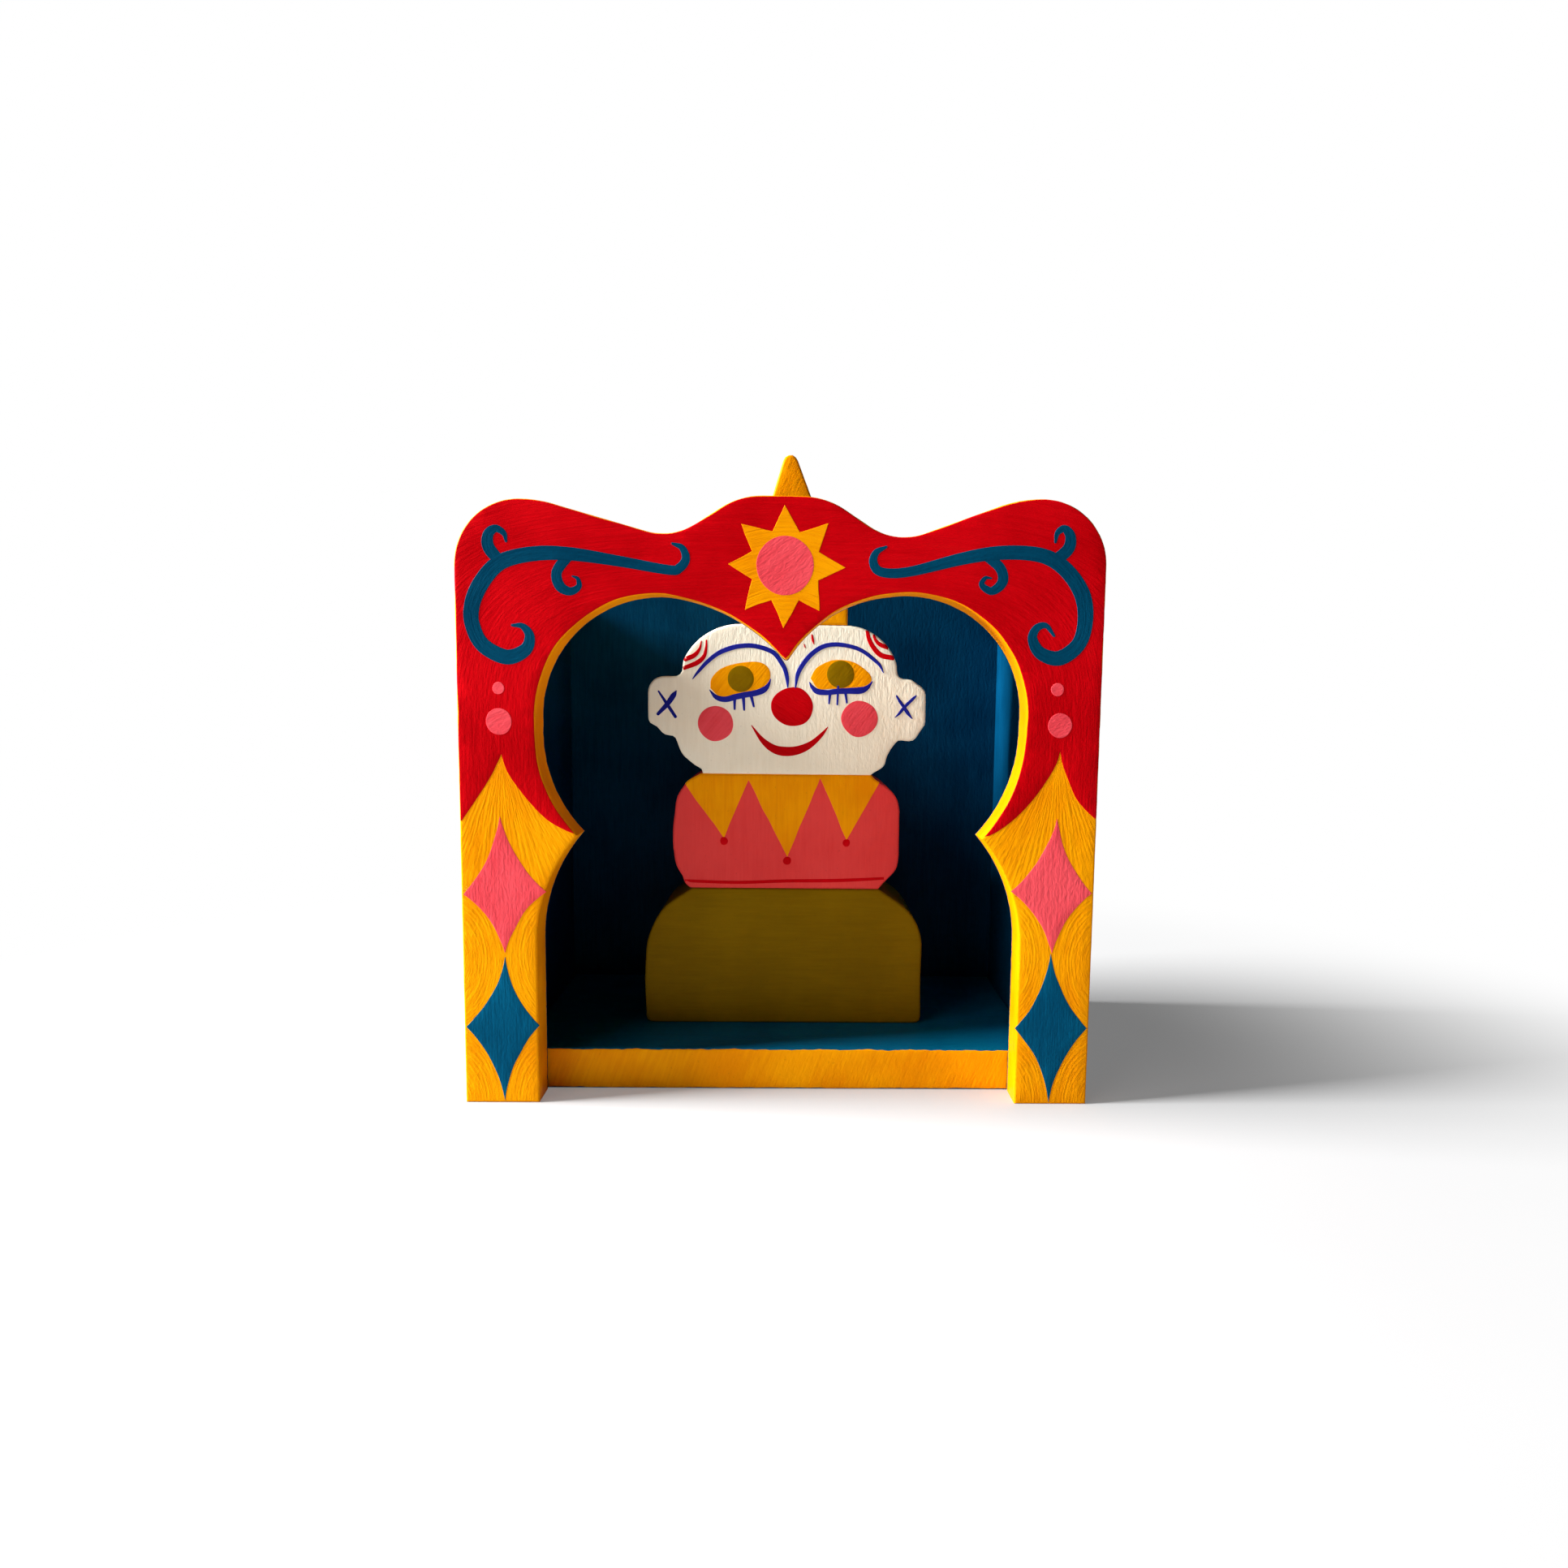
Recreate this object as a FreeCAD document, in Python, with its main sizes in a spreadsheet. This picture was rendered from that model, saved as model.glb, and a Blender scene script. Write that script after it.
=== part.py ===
import FreeCAD, Part
import math
import os
import Sketcher

# A painted wooden jack in the box: an open-topped box behind a scroll-sawn stage front, and a clown
# of four stacked blocks that lift out through the top. X is width, -Y the front, +Z up.
# The origin is on the table, under the middle of the box.

# Driving dimensions in millimetres, slopes in degrees.
DIMENSIONS = {
    "panel_half": 90.0,
    "board": 12.0,
    "stage_depth": 90.0,
    "wall_height": 152.0,
    "back_height": 156.0,
    "floor_height": 12.5,
    # top edge of the front panel, which was sawn by hand, so its two sides differ a little
    "left_shoulder_top": 170.4,
    "right_shoulder_top": 172.6,
    "shoulder_radius": 18.0,
    "brow_radius": 36.0,
    "outer_slope": 18.4,
    "valley_x": 33.2,
    "valley_z": 161.7,
    "valley_radius": 17.0,
    "inner_slope": 34.0,
    "crest_top": 172.3,
    "crest_flat": 5.4,
    "crest_radius": 21.6,
    # cusped arch of the front panel, from the legs to the point between its two lobes
    "arch_half": 69.0,
    "leg_straight": 47.0,
    "leg_radius": 47.0,
    "cusp_x": 57.2,
    "cusp_z": 77.9,
    "left_under_radius": 40.7,
    "left_side_x": 68.6,
    "left_side_z": 109.0,
    "left_lobe_radius": 34.3,
    "left_lobe_x": 32.1,
    "left_lobe_top": 145.2,
    "left_flank_radius": 52.5,
    "right_under_radius": 45.5,
    "right_side_x": 69.0,
    "right_side_z": 110.0,
    "right_lobe_radius": 33.5,
    "right_lobe_x": 29.8,
    "right_lobe_top": 146.1,
    "right_flank_radius": 37.6,
    "point_x": 1.2,
    "point_z": 128.1,
    "point_half": 0.6,
    "point_radius": 0.9,
    # blocks of the clown, which stands a little right of the middle
    "clown_x": 1.4,
    "block_depth": 36.0,
    "block_easing": 0.8,
    "base_half": 44.5,
    "base_foot": 2.0,
    "base_top": 56.5,
    "base_neck": 29.8,
    "base_shoulder_z": 37.1,
    "base_shoulder_radius": 18.0,
    "base_shoulder_turn": 56.0,
    "torso_half": 36.0,
    "torso_top": 93.0,
    "torso_foot": 29.6,
    "torso_neck": 27.0,
    "torso_hip_z": 67.5,
    "torso_hip_radius": 9.0,
    "torso_hip_turn": 38.0,
    "torso_arm_z": 81.5,
    "torso_arm_radius": 9.5,
    "torso_arm_turn": 55.0,
    "head_top": 139.8,
    "chin_half": 26.5,
    "jaw_half": 34.3,
    "jaw_radius": 30.0,
    "crown_right": 18.0,
    "crown_right_radius": 17.0,
    "crown_left": 14.5,
    "crown_left_half": 32.6,
    "crown_left_radius": 20.0,
    "ear_half": 43.6,
    "ear_bottom": 104.8,
    "ear_top": 123.4,
    "ear_corner": 5.0,
    "ear_nook": 2.4,
    "hat_left_half": 14.2,
    "hat_left_slope": 16.7,
    "hat_right_half": 18.6,
    "hat_right_slope": 21.3,
    "hat_top": 191.2,
    "hat_tip_x": 0.35,
    "hat_tip_radius": 2.3,
    # dowels between the blocks
    "peg_radius": 4.0,
    "peg_length": 20.0,
    "peg_easing": 0.8,
    "peg_play": 0.08,
    "peg_spare": 1.0,
    "peg_spread": 12.0,
    "hat_peg_spread": 7.0,
    # headless pins
    "pin_radius": 0.7,
    "pin_length": 30.0,
    "pin_set": 1.5,
    "pin_low": 30.0,
    "pin_high": 132.0,
    "pin_reach": 28.0,
}

doc = FreeCAD.newDocument("JackInTheBox")
sheet = doc.addObject("Spreadsheet::Sheet", "Dimensions")
for row, (alias, value) in enumerate(DIMENSIONS.items(), start=1):
    sheet.set(f"A{row}", alias)
    sheet.set(f"B{row}", str(value))
    sheet.setAlias(f"B{row}", alias)
doc.recompute()


class Size:
    """A length or slope that knows both its number and its formula on the sheet's cells."""

    def __init__(self, value, formula):
        self.value = value
        self.formula = formula

    def _join(self, sign, other, number):
        return Size(number, f"({self.formula} {sign} {other.formula})")

    def __add__(self, other):
        other = as_size(other)
        return self._join("+", other, self.value + other.value)

    def __sub__(self, other):
        other = as_size(other)
        return self._join("-", other, self.value - other.value)

    def __mul__(self, other):
        other = as_size(other)
        return self._join("*", other, self.value * other.value)

    def __truediv__(self, other):
        other = as_size(other)
        return self._join("/", other, self.value / other.value)

    def __neg__(self):
        return Size(-self.value, f"(-1 * {self.formula})")


def as_size(number):
    return number if isinstance(number, Size) else Size(float(number), str(number))


def cell(alias):
    return Size(DIMENSIONS[alias], f"Dimensions.{alias}")


def sine(slope):
    return Size(math.sin(math.radians(slope.value)), f"sin({slope.formula})")


def cosine(slope):
    return Size(math.cos(math.radians(slope.value)), f"cos({slope.formula})")


def root(square):
    return Size(math.sqrt(square.value), f"sqrt({square.formula})")


def bind(thing, prop, size):
    thing.setExpression(prop, as_size(size).formula)


# Outlines: each corner is (x, z) for a straight run to it, or (x, z, radius, turn) for an arc to it,
# where turn is +1 for an arc that runs counter-clockwise and -1 for one that runs clockwise.
LEFTWARD = 1
RIGHTWARD = -1
START, END = 1, 2
UPRIGHT_AXIS, LEVEL_AXIS = -2, -1


def arc_between(start, end, radius, turn):
    """Short arc of a given radius from start to end, and the two ends' places along it."""
    chord = end - start
    middle = (start + end) * 0.5
    rise = math.sqrt(max(radius**2 - (chord.Length / 2) ** 2, 0.0))
    side = FreeCAD.Vector(-chord.y, chord.x, 0).normalize() * turn
    centre = middle + side * rise
    first, last = (start, end) if turn == LEFTWARD else (end, start)
    angles = [math.atan2(p.y - centre.y, p.x - centre.x) for p in (first, last)]
    if angles[1] < angles[0]:
        angles[1] += 2 * math.pi
    circle = Part.Circle(centre, FreeCAD.Vector(0, 0, 1), radius)
    places = (START, END) if turn == LEFTWARD else (END, START)
    return Part.ArcOfCircle(circle, angles[0], angles[1]), places


def draw_outline(sketch, corners):
    """Draws a closed outline and ties every corner and radius to the sheet."""
    points = [FreeCAD.Vector(as_size(c[0]).value, as_size(c[1]).value, 0) for c in corners]
    ends = []
    for index, corner in enumerate(corners):
        start, end = points[index - 1], points[index]
        if len(corner) == 2:
            ends.append((sketch.addGeometry(Part.LineSegment(start, end)), START, END))
            continue
        radius, turn = corner[2], corner[3]
        arc, places = arc_between(start, end, radius.value, turn)
        ends.append((sketch.addGeometry(arc), *places))
    for index, (edge, _, last) in enumerate(ends):
        following = ends[(index + 1) % len(ends)]
        sketch.addConstraint(Sketcher.Constraint("Coincident", edge, last, following[0], following[1]))
    for (edge, _, last), corner in zip(ends, corners):
        for kind, axis, size in (("DistanceX", UPRIGHT_AXIS, corner[0]), ("DistanceY", LEVEL_AXIS, corner[1])):
            size = as_size(size)
            if size.value == 0:
                sketch.addConstraint(Sketcher.Constraint("PointOnObject", edge, last, axis))
                continue
            number = sketch.addConstraint(Sketcher.Constraint(kind, edge, last, size.value))
            bind(sketch, f"Constraints[{number}]", size)
        if len(corner) > 2:
            number = sketch.addConstraint(Sketcher.Constraint("Radius", edge, corner[2].value))
            bind(sketch, f"Constraints[{number}]", corner[2])


def origin_plane(body, role):
    return next(item for item in body.Origin.OriginFeatures if item.Role == role)


def new_sketch(body, name, role):
    sketch = body.newObject("Sketcher::SketchObject", name)
    sketch.AttachmentSupport = [(origin_plane(body, role), "")]
    sketch.MapMode = "FlatFace"
    return sketch


def pad_outline(body, name, corners, depth, side):
    """Pads an upright outline to a board, backwards from the outline or half to each side of it."""
    sketch = new_sketch(body, f"{name}_outline", "XZ_Plane")
    draw_outline(sketch, corners)
    pad = body.newObject("PartDesign::Pad", f"{name}_pad")
    pad.Profile = sketch
    pad.SideType = side
    pad.Reversed = side == "One side"
    bind(pad, "Length", depth)
    return pad


def mirror_half(body, name, pad):
    mirrored = body.newObject("PartDesign::Mirrored", f"{name}_whole")
    mirrored.Originals = [pad]
    mirrored.MirrorPlane = (origin_plane(body, "YZ_Plane"), [""])
    mirrored.Refine = True
    body.Tip = mirrored
    doc.recompute()
    return mirrored


def dress_edges(body, name, kind, feature, prop, size, wanted):
    """Rounds or chamfers the edges of a feature whose every sampled point passes the test."""
    names = []
    for number, edge in enumerate(feature.Shape.Edges, start=1):
        first, last = edge.ParameterRange
        samples = [edge.valueAt(first + (last - first) * part) for part in (0.0, 0.5, 1.0)]
        if all(wanted(point) for point in samples):
            names.append(f"Edge{number}")
    dressed = body.newObject(f"PartDesign::{kind}", f"{name}_easing")
    dressed.Base = (feature, names)
    bind(dressed, prop, size)
    body.Tip = dressed
    doc.recompute()
    return dressed


def on_block_face(point):
    return abs(abs(point.y) - DIMENSIONS["block_depth"] / 2) < 0.001


def drill_pegs(body, name, height, spread, radius, depth, upward):
    """Drills a pair of dowel holes into a block from a level face."""
    sketch = new_sketch(body, f"{name}_holes", "XY_Plane")
    bind(sketch, "AttachmentOffset.Base.z", height)
    for side in (-1, 1):
        place = spread * side
        circle = Part.Circle(FreeCAD.Vector(place.value, 0, 0), FreeCAD.Vector(0, 0, 1), radius.value)
        edge = sketch.addGeometry(circle)
        middle = 3
        sketch.addConstraint(Sketcher.Constraint("PointOnObject", edge, middle, LEVEL_AXIS))
        number = sketch.addConstraint(Sketcher.Constraint("DistanceX", edge, middle, place.value))
        bind(sketch, f"Constraints[{number}]", place)
        number = sketch.addConstraint(Sketcher.Constraint("Radius", edge, radius.value))
        bind(sketch, f"Constraints[{number}]", radius)
    before = body.Tip.Shape.Volume
    pocket = body.newObject("PartDesign::Pocket", f"{name}_pocket")
    pocket.Profile = sketch
    pocket.Reversed = upward
    bind(pocket, "Length", depth)
    body.Tip = pocket
    doc.recompute()
    drilled = before - pocket.Shape.Volume
    wanted = 2 * math.pi * radius.value**2 * depth.value
    if abs(drilled - wanted) > 0.01 * wanted:
        raise RuntimeError(f"{name}: drilled {drilled:.1f} mm3, wanted {wanted:.1f} mm3")


def box(name, lengths, corner):
    solid = doc.addObject("Part::Box", name)
    for prop, size in zip(("Length", "Width", "Height"), lengths):
        bind(solid, prop, size)
    for axis, size in zip("xyz", corner):
        bind(solid, f"Placement.Base.{axis}", size)
    return solid


def cylinder(name, radius, height, base, turn):
    solid = doc.addObject("Part::Cylinder", name)
    bind(solid, "Radius", radius)
    bind(solid, "Height", height)
    solid.Placement.Rotation = turn
    for axis, size in zip("xyz", base):
        bind(solid, f"Placement.Base.{axis}", size)
    return solid


def group(name, solids):
    compound = doc.addObject("Part::Compound", name)
    compound.Links = solids
    compound.Label = name
    return compound


def cut_away(name, board, tools):
    cut = doc.addObject("Part::Cut", name)
    cut.Base = board
    cut.Tool = group(f"{name}_tools", tools)
    cut.Label = name
    return cut


half_depth = cell("stage_depth") / 2 + cell("board")
half_stage = cell("stage_depth") / 2
inner_half = cell("panel_half") - cell("board")


# Headless pins, set below the face and filled over.
UP = FreeCAD.Vector(0, 0, 1)
BACKWARD = FreeCAD.Vector(0, 1, 0)
FORWARD = FreeCAD.Vector(0, -1, 0)
TO_RIGHT = FreeCAD.Vector(1, 0, 0)
TO_LEFT = FreeCAD.Vector(-1, 0, 0)
SIDES = {"left": -1, "right": 1}


def pin(name, face_point, direction):
    """A pin driven in a direction, its end set below the face that it goes through."""
    seat = [as_size(c) + cell("pin_set") * step for c, step in zip(face_point, direction)]
    return cylinder(name, cell("pin_radius"), cell("pin_length"), seat, FreeCAD.Rotation(UP, direction))


wall_middle = cell("panel_half") - cell("board") / 2
floor_middle = cell("floor_height") / 2
front_pins, back_pins, floor_pins = {}, {}, {}
for wall, side in SIDES.items():
    front_pins[wall], back_pins[wall], floor_pins[wall] = [], [], []
    inward = TO_RIGHT if side < 0 else TO_LEFT
    for count, height in enumerate((cell("pin_low"), cell("pin_high"))):
        place = wall_middle * side
        front_pins[wall].append(pin(f"front_pin_{wall}_{count}", (place, -half_depth, height), BACKWARD))
        back_pins[wall].append(pin(f"back_pin_{wall}_{count}", (place, half_depth, height), FORWARD))
    for count, step in enumerate((-1, 1)):
        place = (cell("panel_half") * side, cell("pin_reach") * step, floor_middle)
        floor_pins[wall].append(pin(f"floor_pin_{wall}_{count}", place, inward))
group("front_panel_pins", front_pins["left"] + front_pins["right"])
group("back_panel_pins", back_pins["left"] + back_pins["right"])
group("floor_pins", floor_pins["left"] + floor_pins["right"])


# Walls, back and floor: plain boards, butted and pinned.
wall_size = (cell("board"), cell("stage_depth"), cell("wall_height"))
for wall, side in SIDES.items():
    outer = -cell("panel_half") if side < 0 else inner_half
    board = box(f"{wall}_wall_board", wall_size, (outer, -half_stage, 0))
    cut_away(f"{wall}_wall", board, front_pins[wall] + back_pins[wall] + floor_pins[wall])
back_size = (cell("panel_half") * 2, cell("board"), cell("back_height"))
back_board = box("back_panel_board", back_size, (-cell("panel_half"), half_stage, 0))
cut_away("back_panel", back_board, back_pins["left"] + back_pins["right"])
floor_size = (inner_half * 2, cell("stage_depth"), cell("floor_height"))
floor_plain = box("floor_board_plain", floor_size, (-inner_half, -half_stage, 0))
cut_away("floor_board", floor_plain, floor_pins["left"] + floor_pins["right"])


# Front panel: its whole outline, up the right side, along the top, down the left side and round the arch.
outer_slope, inner_slope = cell("outer_slope"), cell("inner_slope")
shoulder_x = cell("panel_half") - cell("shoulder_radius")
brow_x = shoulder_x - cell("brow_radius") * sine(outer_slope)
brow_fall = cell("brow_radius") * (as_size(1) - cosine(outer_slope))
valley_out = (
    cell("valley_x") + cell("valley_radius") * sine(outer_slope),
    cell("valley_z") + cell("valley_radius") * (as_size(1) - cosine(outer_slope)),
)
valley_in = (
    cell("valley_x") - cell("valley_radius") * sine(inner_slope),
    cell("valley_z") + cell("valley_radius") * (as_size(1) - cosine(inner_slope)),
)
crest_foot = (
    cell("crest_flat") + cell("crest_radius") * sine(inner_slope),
    cell("crest_top") - cell("crest_radius") * (as_size(1) - cosine(inner_slope)),
)
left_top, right_top = cell("left_shoulder_top"), cell("right_shoulder_top")
top_corners = [
    (cell("panel_half"), 0),
    (cell("panel_half"), right_top - cell("shoulder_radius")),
    (shoulder_x, right_top, cell("shoulder_radius"), LEFTWARD),
    (brow_x, right_top - brow_fall, cell("brow_radius"), LEFTWARD),
    valley_out,
    (*valley_in, cell("valley_radius"), RIGHTWARD),
    crest_foot,
    (cell("crest_flat"), cell("crest_top"), cell("crest_radius"), LEFTWARD),
    (-cell("crest_flat"), cell("crest_top")),
    (-crest_foot[0], crest_foot[1], cell("crest_radius"), LEFTWARD),
    (-valley_in[0], valley_in[1]),
    (-valley_out[0], valley_out[1], cell("valley_radius"), RIGHTWARD),
    (-brow_x, left_top - brow_fall),
    (-shoulder_x, left_top, cell("brow_radius"), LEFTWARD),
    (-cell("panel_half"), left_top - cell("shoulder_radius"), cell("shoulder_radius"), LEFTWARD),
    (-cell("panel_half"), 0),
]
arch_corners = [
    (-cell("arch_half"), 0),
    (-cell("arch_half"), cell("leg_straight")),
    (-cell("cusp_x"), cell("cusp_z"), cell("leg_radius"), RIGHTWARD),
    (-cell("left_side_x"), cell("left_side_z"), cell("left_under_radius"), RIGHTWARD),
    (-cell("left_lobe_x"), cell("left_lobe_top"), cell("left_lobe_radius"), RIGHTWARD),
    (cell("point_x") - cell("point_half"), cell("point_z"), cell("left_flank_radius"), RIGHTWARD),
    (cell("point_x") + cell("point_half"), cell("point_z"), cell("point_radius"), LEFTWARD),
    (cell("right_lobe_x"), cell("right_lobe_top"), cell("right_flank_radius"), RIGHTWARD),
    (cell("right_side_x"), cell("right_side_z"), cell("right_lobe_radius"), RIGHTWARD),
    (cell("cusp_x"), cell("cusp_z"), cell("right_under_radius"), RIGHTWARD),
    (cell("arch_half"), cell("leg_straight"), cell("leg_radius"), RIGHTWARD),
    (cell("arch_half"), 0),
]
panel_body = doc.addObject("PartDesign::Body", "front_panel_body")
pad_outline(panel_body, "front_panel", top_corners + arch_corners, cell("board"), "One side")
bind(panel_body, "Placement.Base.y", -half_depth)
cut_away("front_panel", panel_body, front_pins["left"] + front_pins["right"])


# Blocks of the clown: each outline is padded, mirrored if it is half a block, eased and drilled for its dowels.
def eased_block(name, corners, half):
    """A block with its sawn edges eased, from its whole outline or from half of it."""
    body = doc.addObject("PartDesign::Body", name)
    body.Label = name
    whole = pad_outline(body, name, corners, cell("block_depth"), "Symmetric")
    if half:
        whole = mirror_half(body, name, whole)
    doc.recompute()
    dress_edges(body, name, "Chamfer", whole, "Size", cell("block_easing"), on_block_face)
    return body


def rounded_corner(centre_x, centre_z, radius, turn):
    """Where an arc that starts level with its centre ends, after it has turned upwards."""
    return centre_x + radius * cosine(turn), centre_z + radius * sine(turn)


base_shoulder_x = cell("base_half") - cell("base_shoulder_radius")
base_shoulder = rounded_corner(
    base_shoulder_x, cell("base_shoulder_z"), cell("base_shoulder_radius"), cell("base_shoulder_turn")
)
base_corners = [
    (cell("base_half") - cell("base_foot"), cell("floor_height")),
    (cell("base_half"), cell("floor_height") + cell("base_foot"), cell("base_foot"), LEFTWARD),
    (cell("base_half"), cell("base_shoulder_z")),
    (*base_shoulder, cell("base_shoulder_radius"), LEFTWARD),
    (cell("base_neck"), cell("base_top")),
    (0, cell("base_top")),
    (0, cell("floor_height")),
]
base_body = eased_block("base_block", base_corners, half=True)

torso_hip_x = cell("torso_half") - cell("torso_hip_radius")
torso_hip = (
    torso_hip_x + cell("torso_hip_radius") * cosine(cell("torso_hip_turn")),
    cell("torso_hip_z") - cell("torso_hip_radius") * sine(cell("torso_hip_turn")),
)
torso_arm_x = cell("torso_half") - cell("torso_arm_radius")
torso_arm = rounded_corner(torso_arm_x, cell("torso_arm_z"), cell("torso_arm_radius"), cell("torso_arm_turn"))
torso_corners = [
    (cell("torso_foot"), cell("base_top")),
    torso_hip,
    (cell("torso_half"), cell("torso_hip_z"), cell("torso_hip_radius"), LEFTWARD),
    (cell("torso_half"), cell("torso_arm_z")),
    (*torso_arm, cell("torso_arm_radius"), LEFTWARD),
    (cell("torso_neck"), cell("torso_top")),
    (0, cell("torso_top")),
    (0, cell("base_top")),
]
torso_body = eased_block("torso_block", torso_corners, half=True)

# The hat leans a little: its tip stands left of the middle of its rim.
def hat_side(half, slope):
    """Where one sloping side leaves the tip, measured from the tip's centre, and how high its rim is."""
    touch_x = cell("hat_tip_radius") * cosine(slope)
    touch_z = cell("hat_top") - cell("hat_tip_radius") + cell("hat_tip_radius") * sine(slope)
    return touch_x, touch_z, touch_z - (half - touch_x) * cosine(slope) / sine(slope)


hat_tip_x = cell("hat_tip_x")
right_touch_x, right_touch_z, right_rim = hat_side(cell("hat_right_half") - hat_tip_x, cell("hat_right_slope"))
left_touch_x, left_touch_z, left_rim = hat_side(cell("hat_left_half") + hat_tip_x, cell("hat_left_slope"))
hat_corners = [
    (cell("hat_right_half"), cell("head_top")),
    (cell("hat_right_half"), right_rim),
    (hat_tip_x + right_touch_x, right_touch_z),
    (hat_tip_x - left_touch_x, left_touch_z, cell("hat_tip_radius"), LEFTWARD),
    (-cell("hat_left_half"), left_rim),
    (-cell("hat_left_half"), cell("head_top")),
]
hat_body = eased_block("hat_block", hat_corners, half=False)

# The head is not quite the same on both sides: the crown falls away sooner on the left.
def crown_foot(half, flat, radius):
    """Height where a crown arc that leaves the flat top smoothly meets the side of the head."""
    return cell("head_top") - radius + root(radius * radius - (half - flat) * (half - flat))


crown_right_z = crown_foot(cell("jaw_half"), cell("crown_right"), cell("crown_right_radius"))
crown_left_z = crown_foot(cell("crown_left_half"), cell("crown_left"), cell("crown_left_radius"))
skull_corners = [
    (cell("chin_half"), cell("torso_top")),
    (cell("jaw_half"), cell("ear_bottom"), cell("jaw_radius"), LEFTWARD),
    (cell("jaw_half"), crown_right_z),
    (cell("crown_right"), cell("head_top"), cell("crown_right_radius"), LEFTWARD),
    (-cell("crown_left"), cell("head_top")),
    (-cell("crown_left_half"), crown_left_z, cell("crown_left_radius"), LEFTWARD),
    (-cell("jaw_half"), cell("ear_bottom")),
    (-cell("chin_half"), cell("torso_top"), cell("jaw_radius"), LEFTWARD),
]
ear_inner = cell("ear_half") - cell("ear_corner")
ear_corners = [
    (ear_inner, cell("ear_bottom")),
    (cell("ear_half"), cell("ear_bottom") + cell("ear_corner"), cell("ear_corner"), LEFTWARD),
    (cell("ear_half"), cell("ear_top") - cell("ear_corner")),
    (ear_inner, cell("ear_top"), cell("ear_corner"), LEFTWARD),
    (-ear_inner, cell("ear_top")),
    (-cell("ear_half"), cell("ear_top") - cell("ear_corner"), cell("ear_corner"), LEFTWARD),
    (-cell("ear_half"), cell("ear_bottom") + cell("ear_corner")),
    (-ear_inner, cell("ear_bottom"), cell("ear_corner"), LEFTWARD),
]
head_body = doc.addObject("PartDesign::Body", "head_block")
pad_outline(head_body, "skull", skull_corners, cell("block_depth"), "Symmetric")
ears = pad_outline(head_body, "ears", ear_corners, cell("block_depth"), "Symmetric")
doc.recompute()


def in_ear_nook(point):
    at_ear_edge = min(abs(point.z - DIMENSIONS["ear_top"]), abs(point.z - DIMENSIONS["ear_bottom"])) < 0.001
    return at_ear_edge and abs(point.x) < DIMENSIONS["jaw_half"] + 0.001


dress_edges(head_body, "nook", "Fillet", ears, "Radius", cell("ear_nook"), in_ear_nook)


# Dowels: glued half their length into the block below, a running fit in the block above.
peg_sunk = cell("peg_length") / 2
stack = [
    ("base_pegs", base_body, torso_body, cell("base_top"), cell("peg_spread")),
    ("torso_pegs", torso_body, head_body, cell("torso_top"), cell("peg_spread")),
    ("head_pegs", head_body, hat_body, cell("head_top"), cell("hat_peg_spread")),
]
for block in (base_body, torso_body, head_body, hat_body):
    bind(block, "Placement.Base.x", cell("clown_x"))
for name, lower, upper, height, spread in stack:
    drill_pegs(lower, f"{name}_lower", height, spread, cell("peg_radius"), peg_sunk, upward=False)
    loose = cell("peg_radius") + cell("peg_play")
    drill_pegs(upper, f"{name}_upper", height, spread, loose, peg_sunk + cell("peg_spare"), upward=True)
    dowels = []
    for side in (-1, 1):
        base = (cell("clown_x") + spread * side, as_size(0), height - peg_sunk)
        dowel = cylinder(f"{name}_{side + 1}", cell("peg_radius"), cell("peg_length"), base, FreeCAD.Rotation())
        doc.recompute()
        easing = doc.addObject("Part::Chamfer", f"{name}_{side + 1}_eased")
        easing.Base = dowel
        top_rim = next(
            number
            for number, edge in enumerate(dowel.Shape.Edges, start=1)
            if edge.Closed and abs(edge.CenterOfMass.z - (height + peg_sunk).value) < 0.001
        )
        easing.Edges = [(top_rim, DIMENSIONS["peg_easing"], DIMENSIONS["peg_easing"])]
        dowels.append(easing)
    group(name, dowels)

doc.recompute()

NODES = [
    "front_panel",
    "back_panel",
    "left_wall",
    "right_wall",
    "floor_board",
    "front_panel_pins",
    "back_panel_pins",
    "floor_pins",
    "base_block",
    "base_pegs",
    "torso_block",
    "torso_pegs",
    "head_block",
    "head_pegs",
    "hat_block",
]

failed = [item.Name for item in doc.Objects if {"Invalid", "Error"} & set(item.State)]
if failed:
    raise RuntimeError(f"failed objects: {failed}")
for node in NODES:
    shape = doc.getObjectsByLabel(node)[0].Shape
    if shape.isNull() or not shape.isValid():
        raise RuntimeError(f"{node} has no valid shape")
os.makedirs("parts", exist_ok=True)
for node in NODES:
    doc.getObjectsByLabel(node)[0].Shape.exportStep(f"parts/{node}.step")
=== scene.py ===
"""Dresses the jack in the box: painted boards, brushed ornament, studio light and camera."""

import logging
import math
from dataclasses import dataclass, replace
from enum import Enum
from itertools import accumulate
from typing import Callable, Sequence

import bmesh
import bpy
from mathutils import Matrix, Vector, geometry, kdtree, noise


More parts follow.
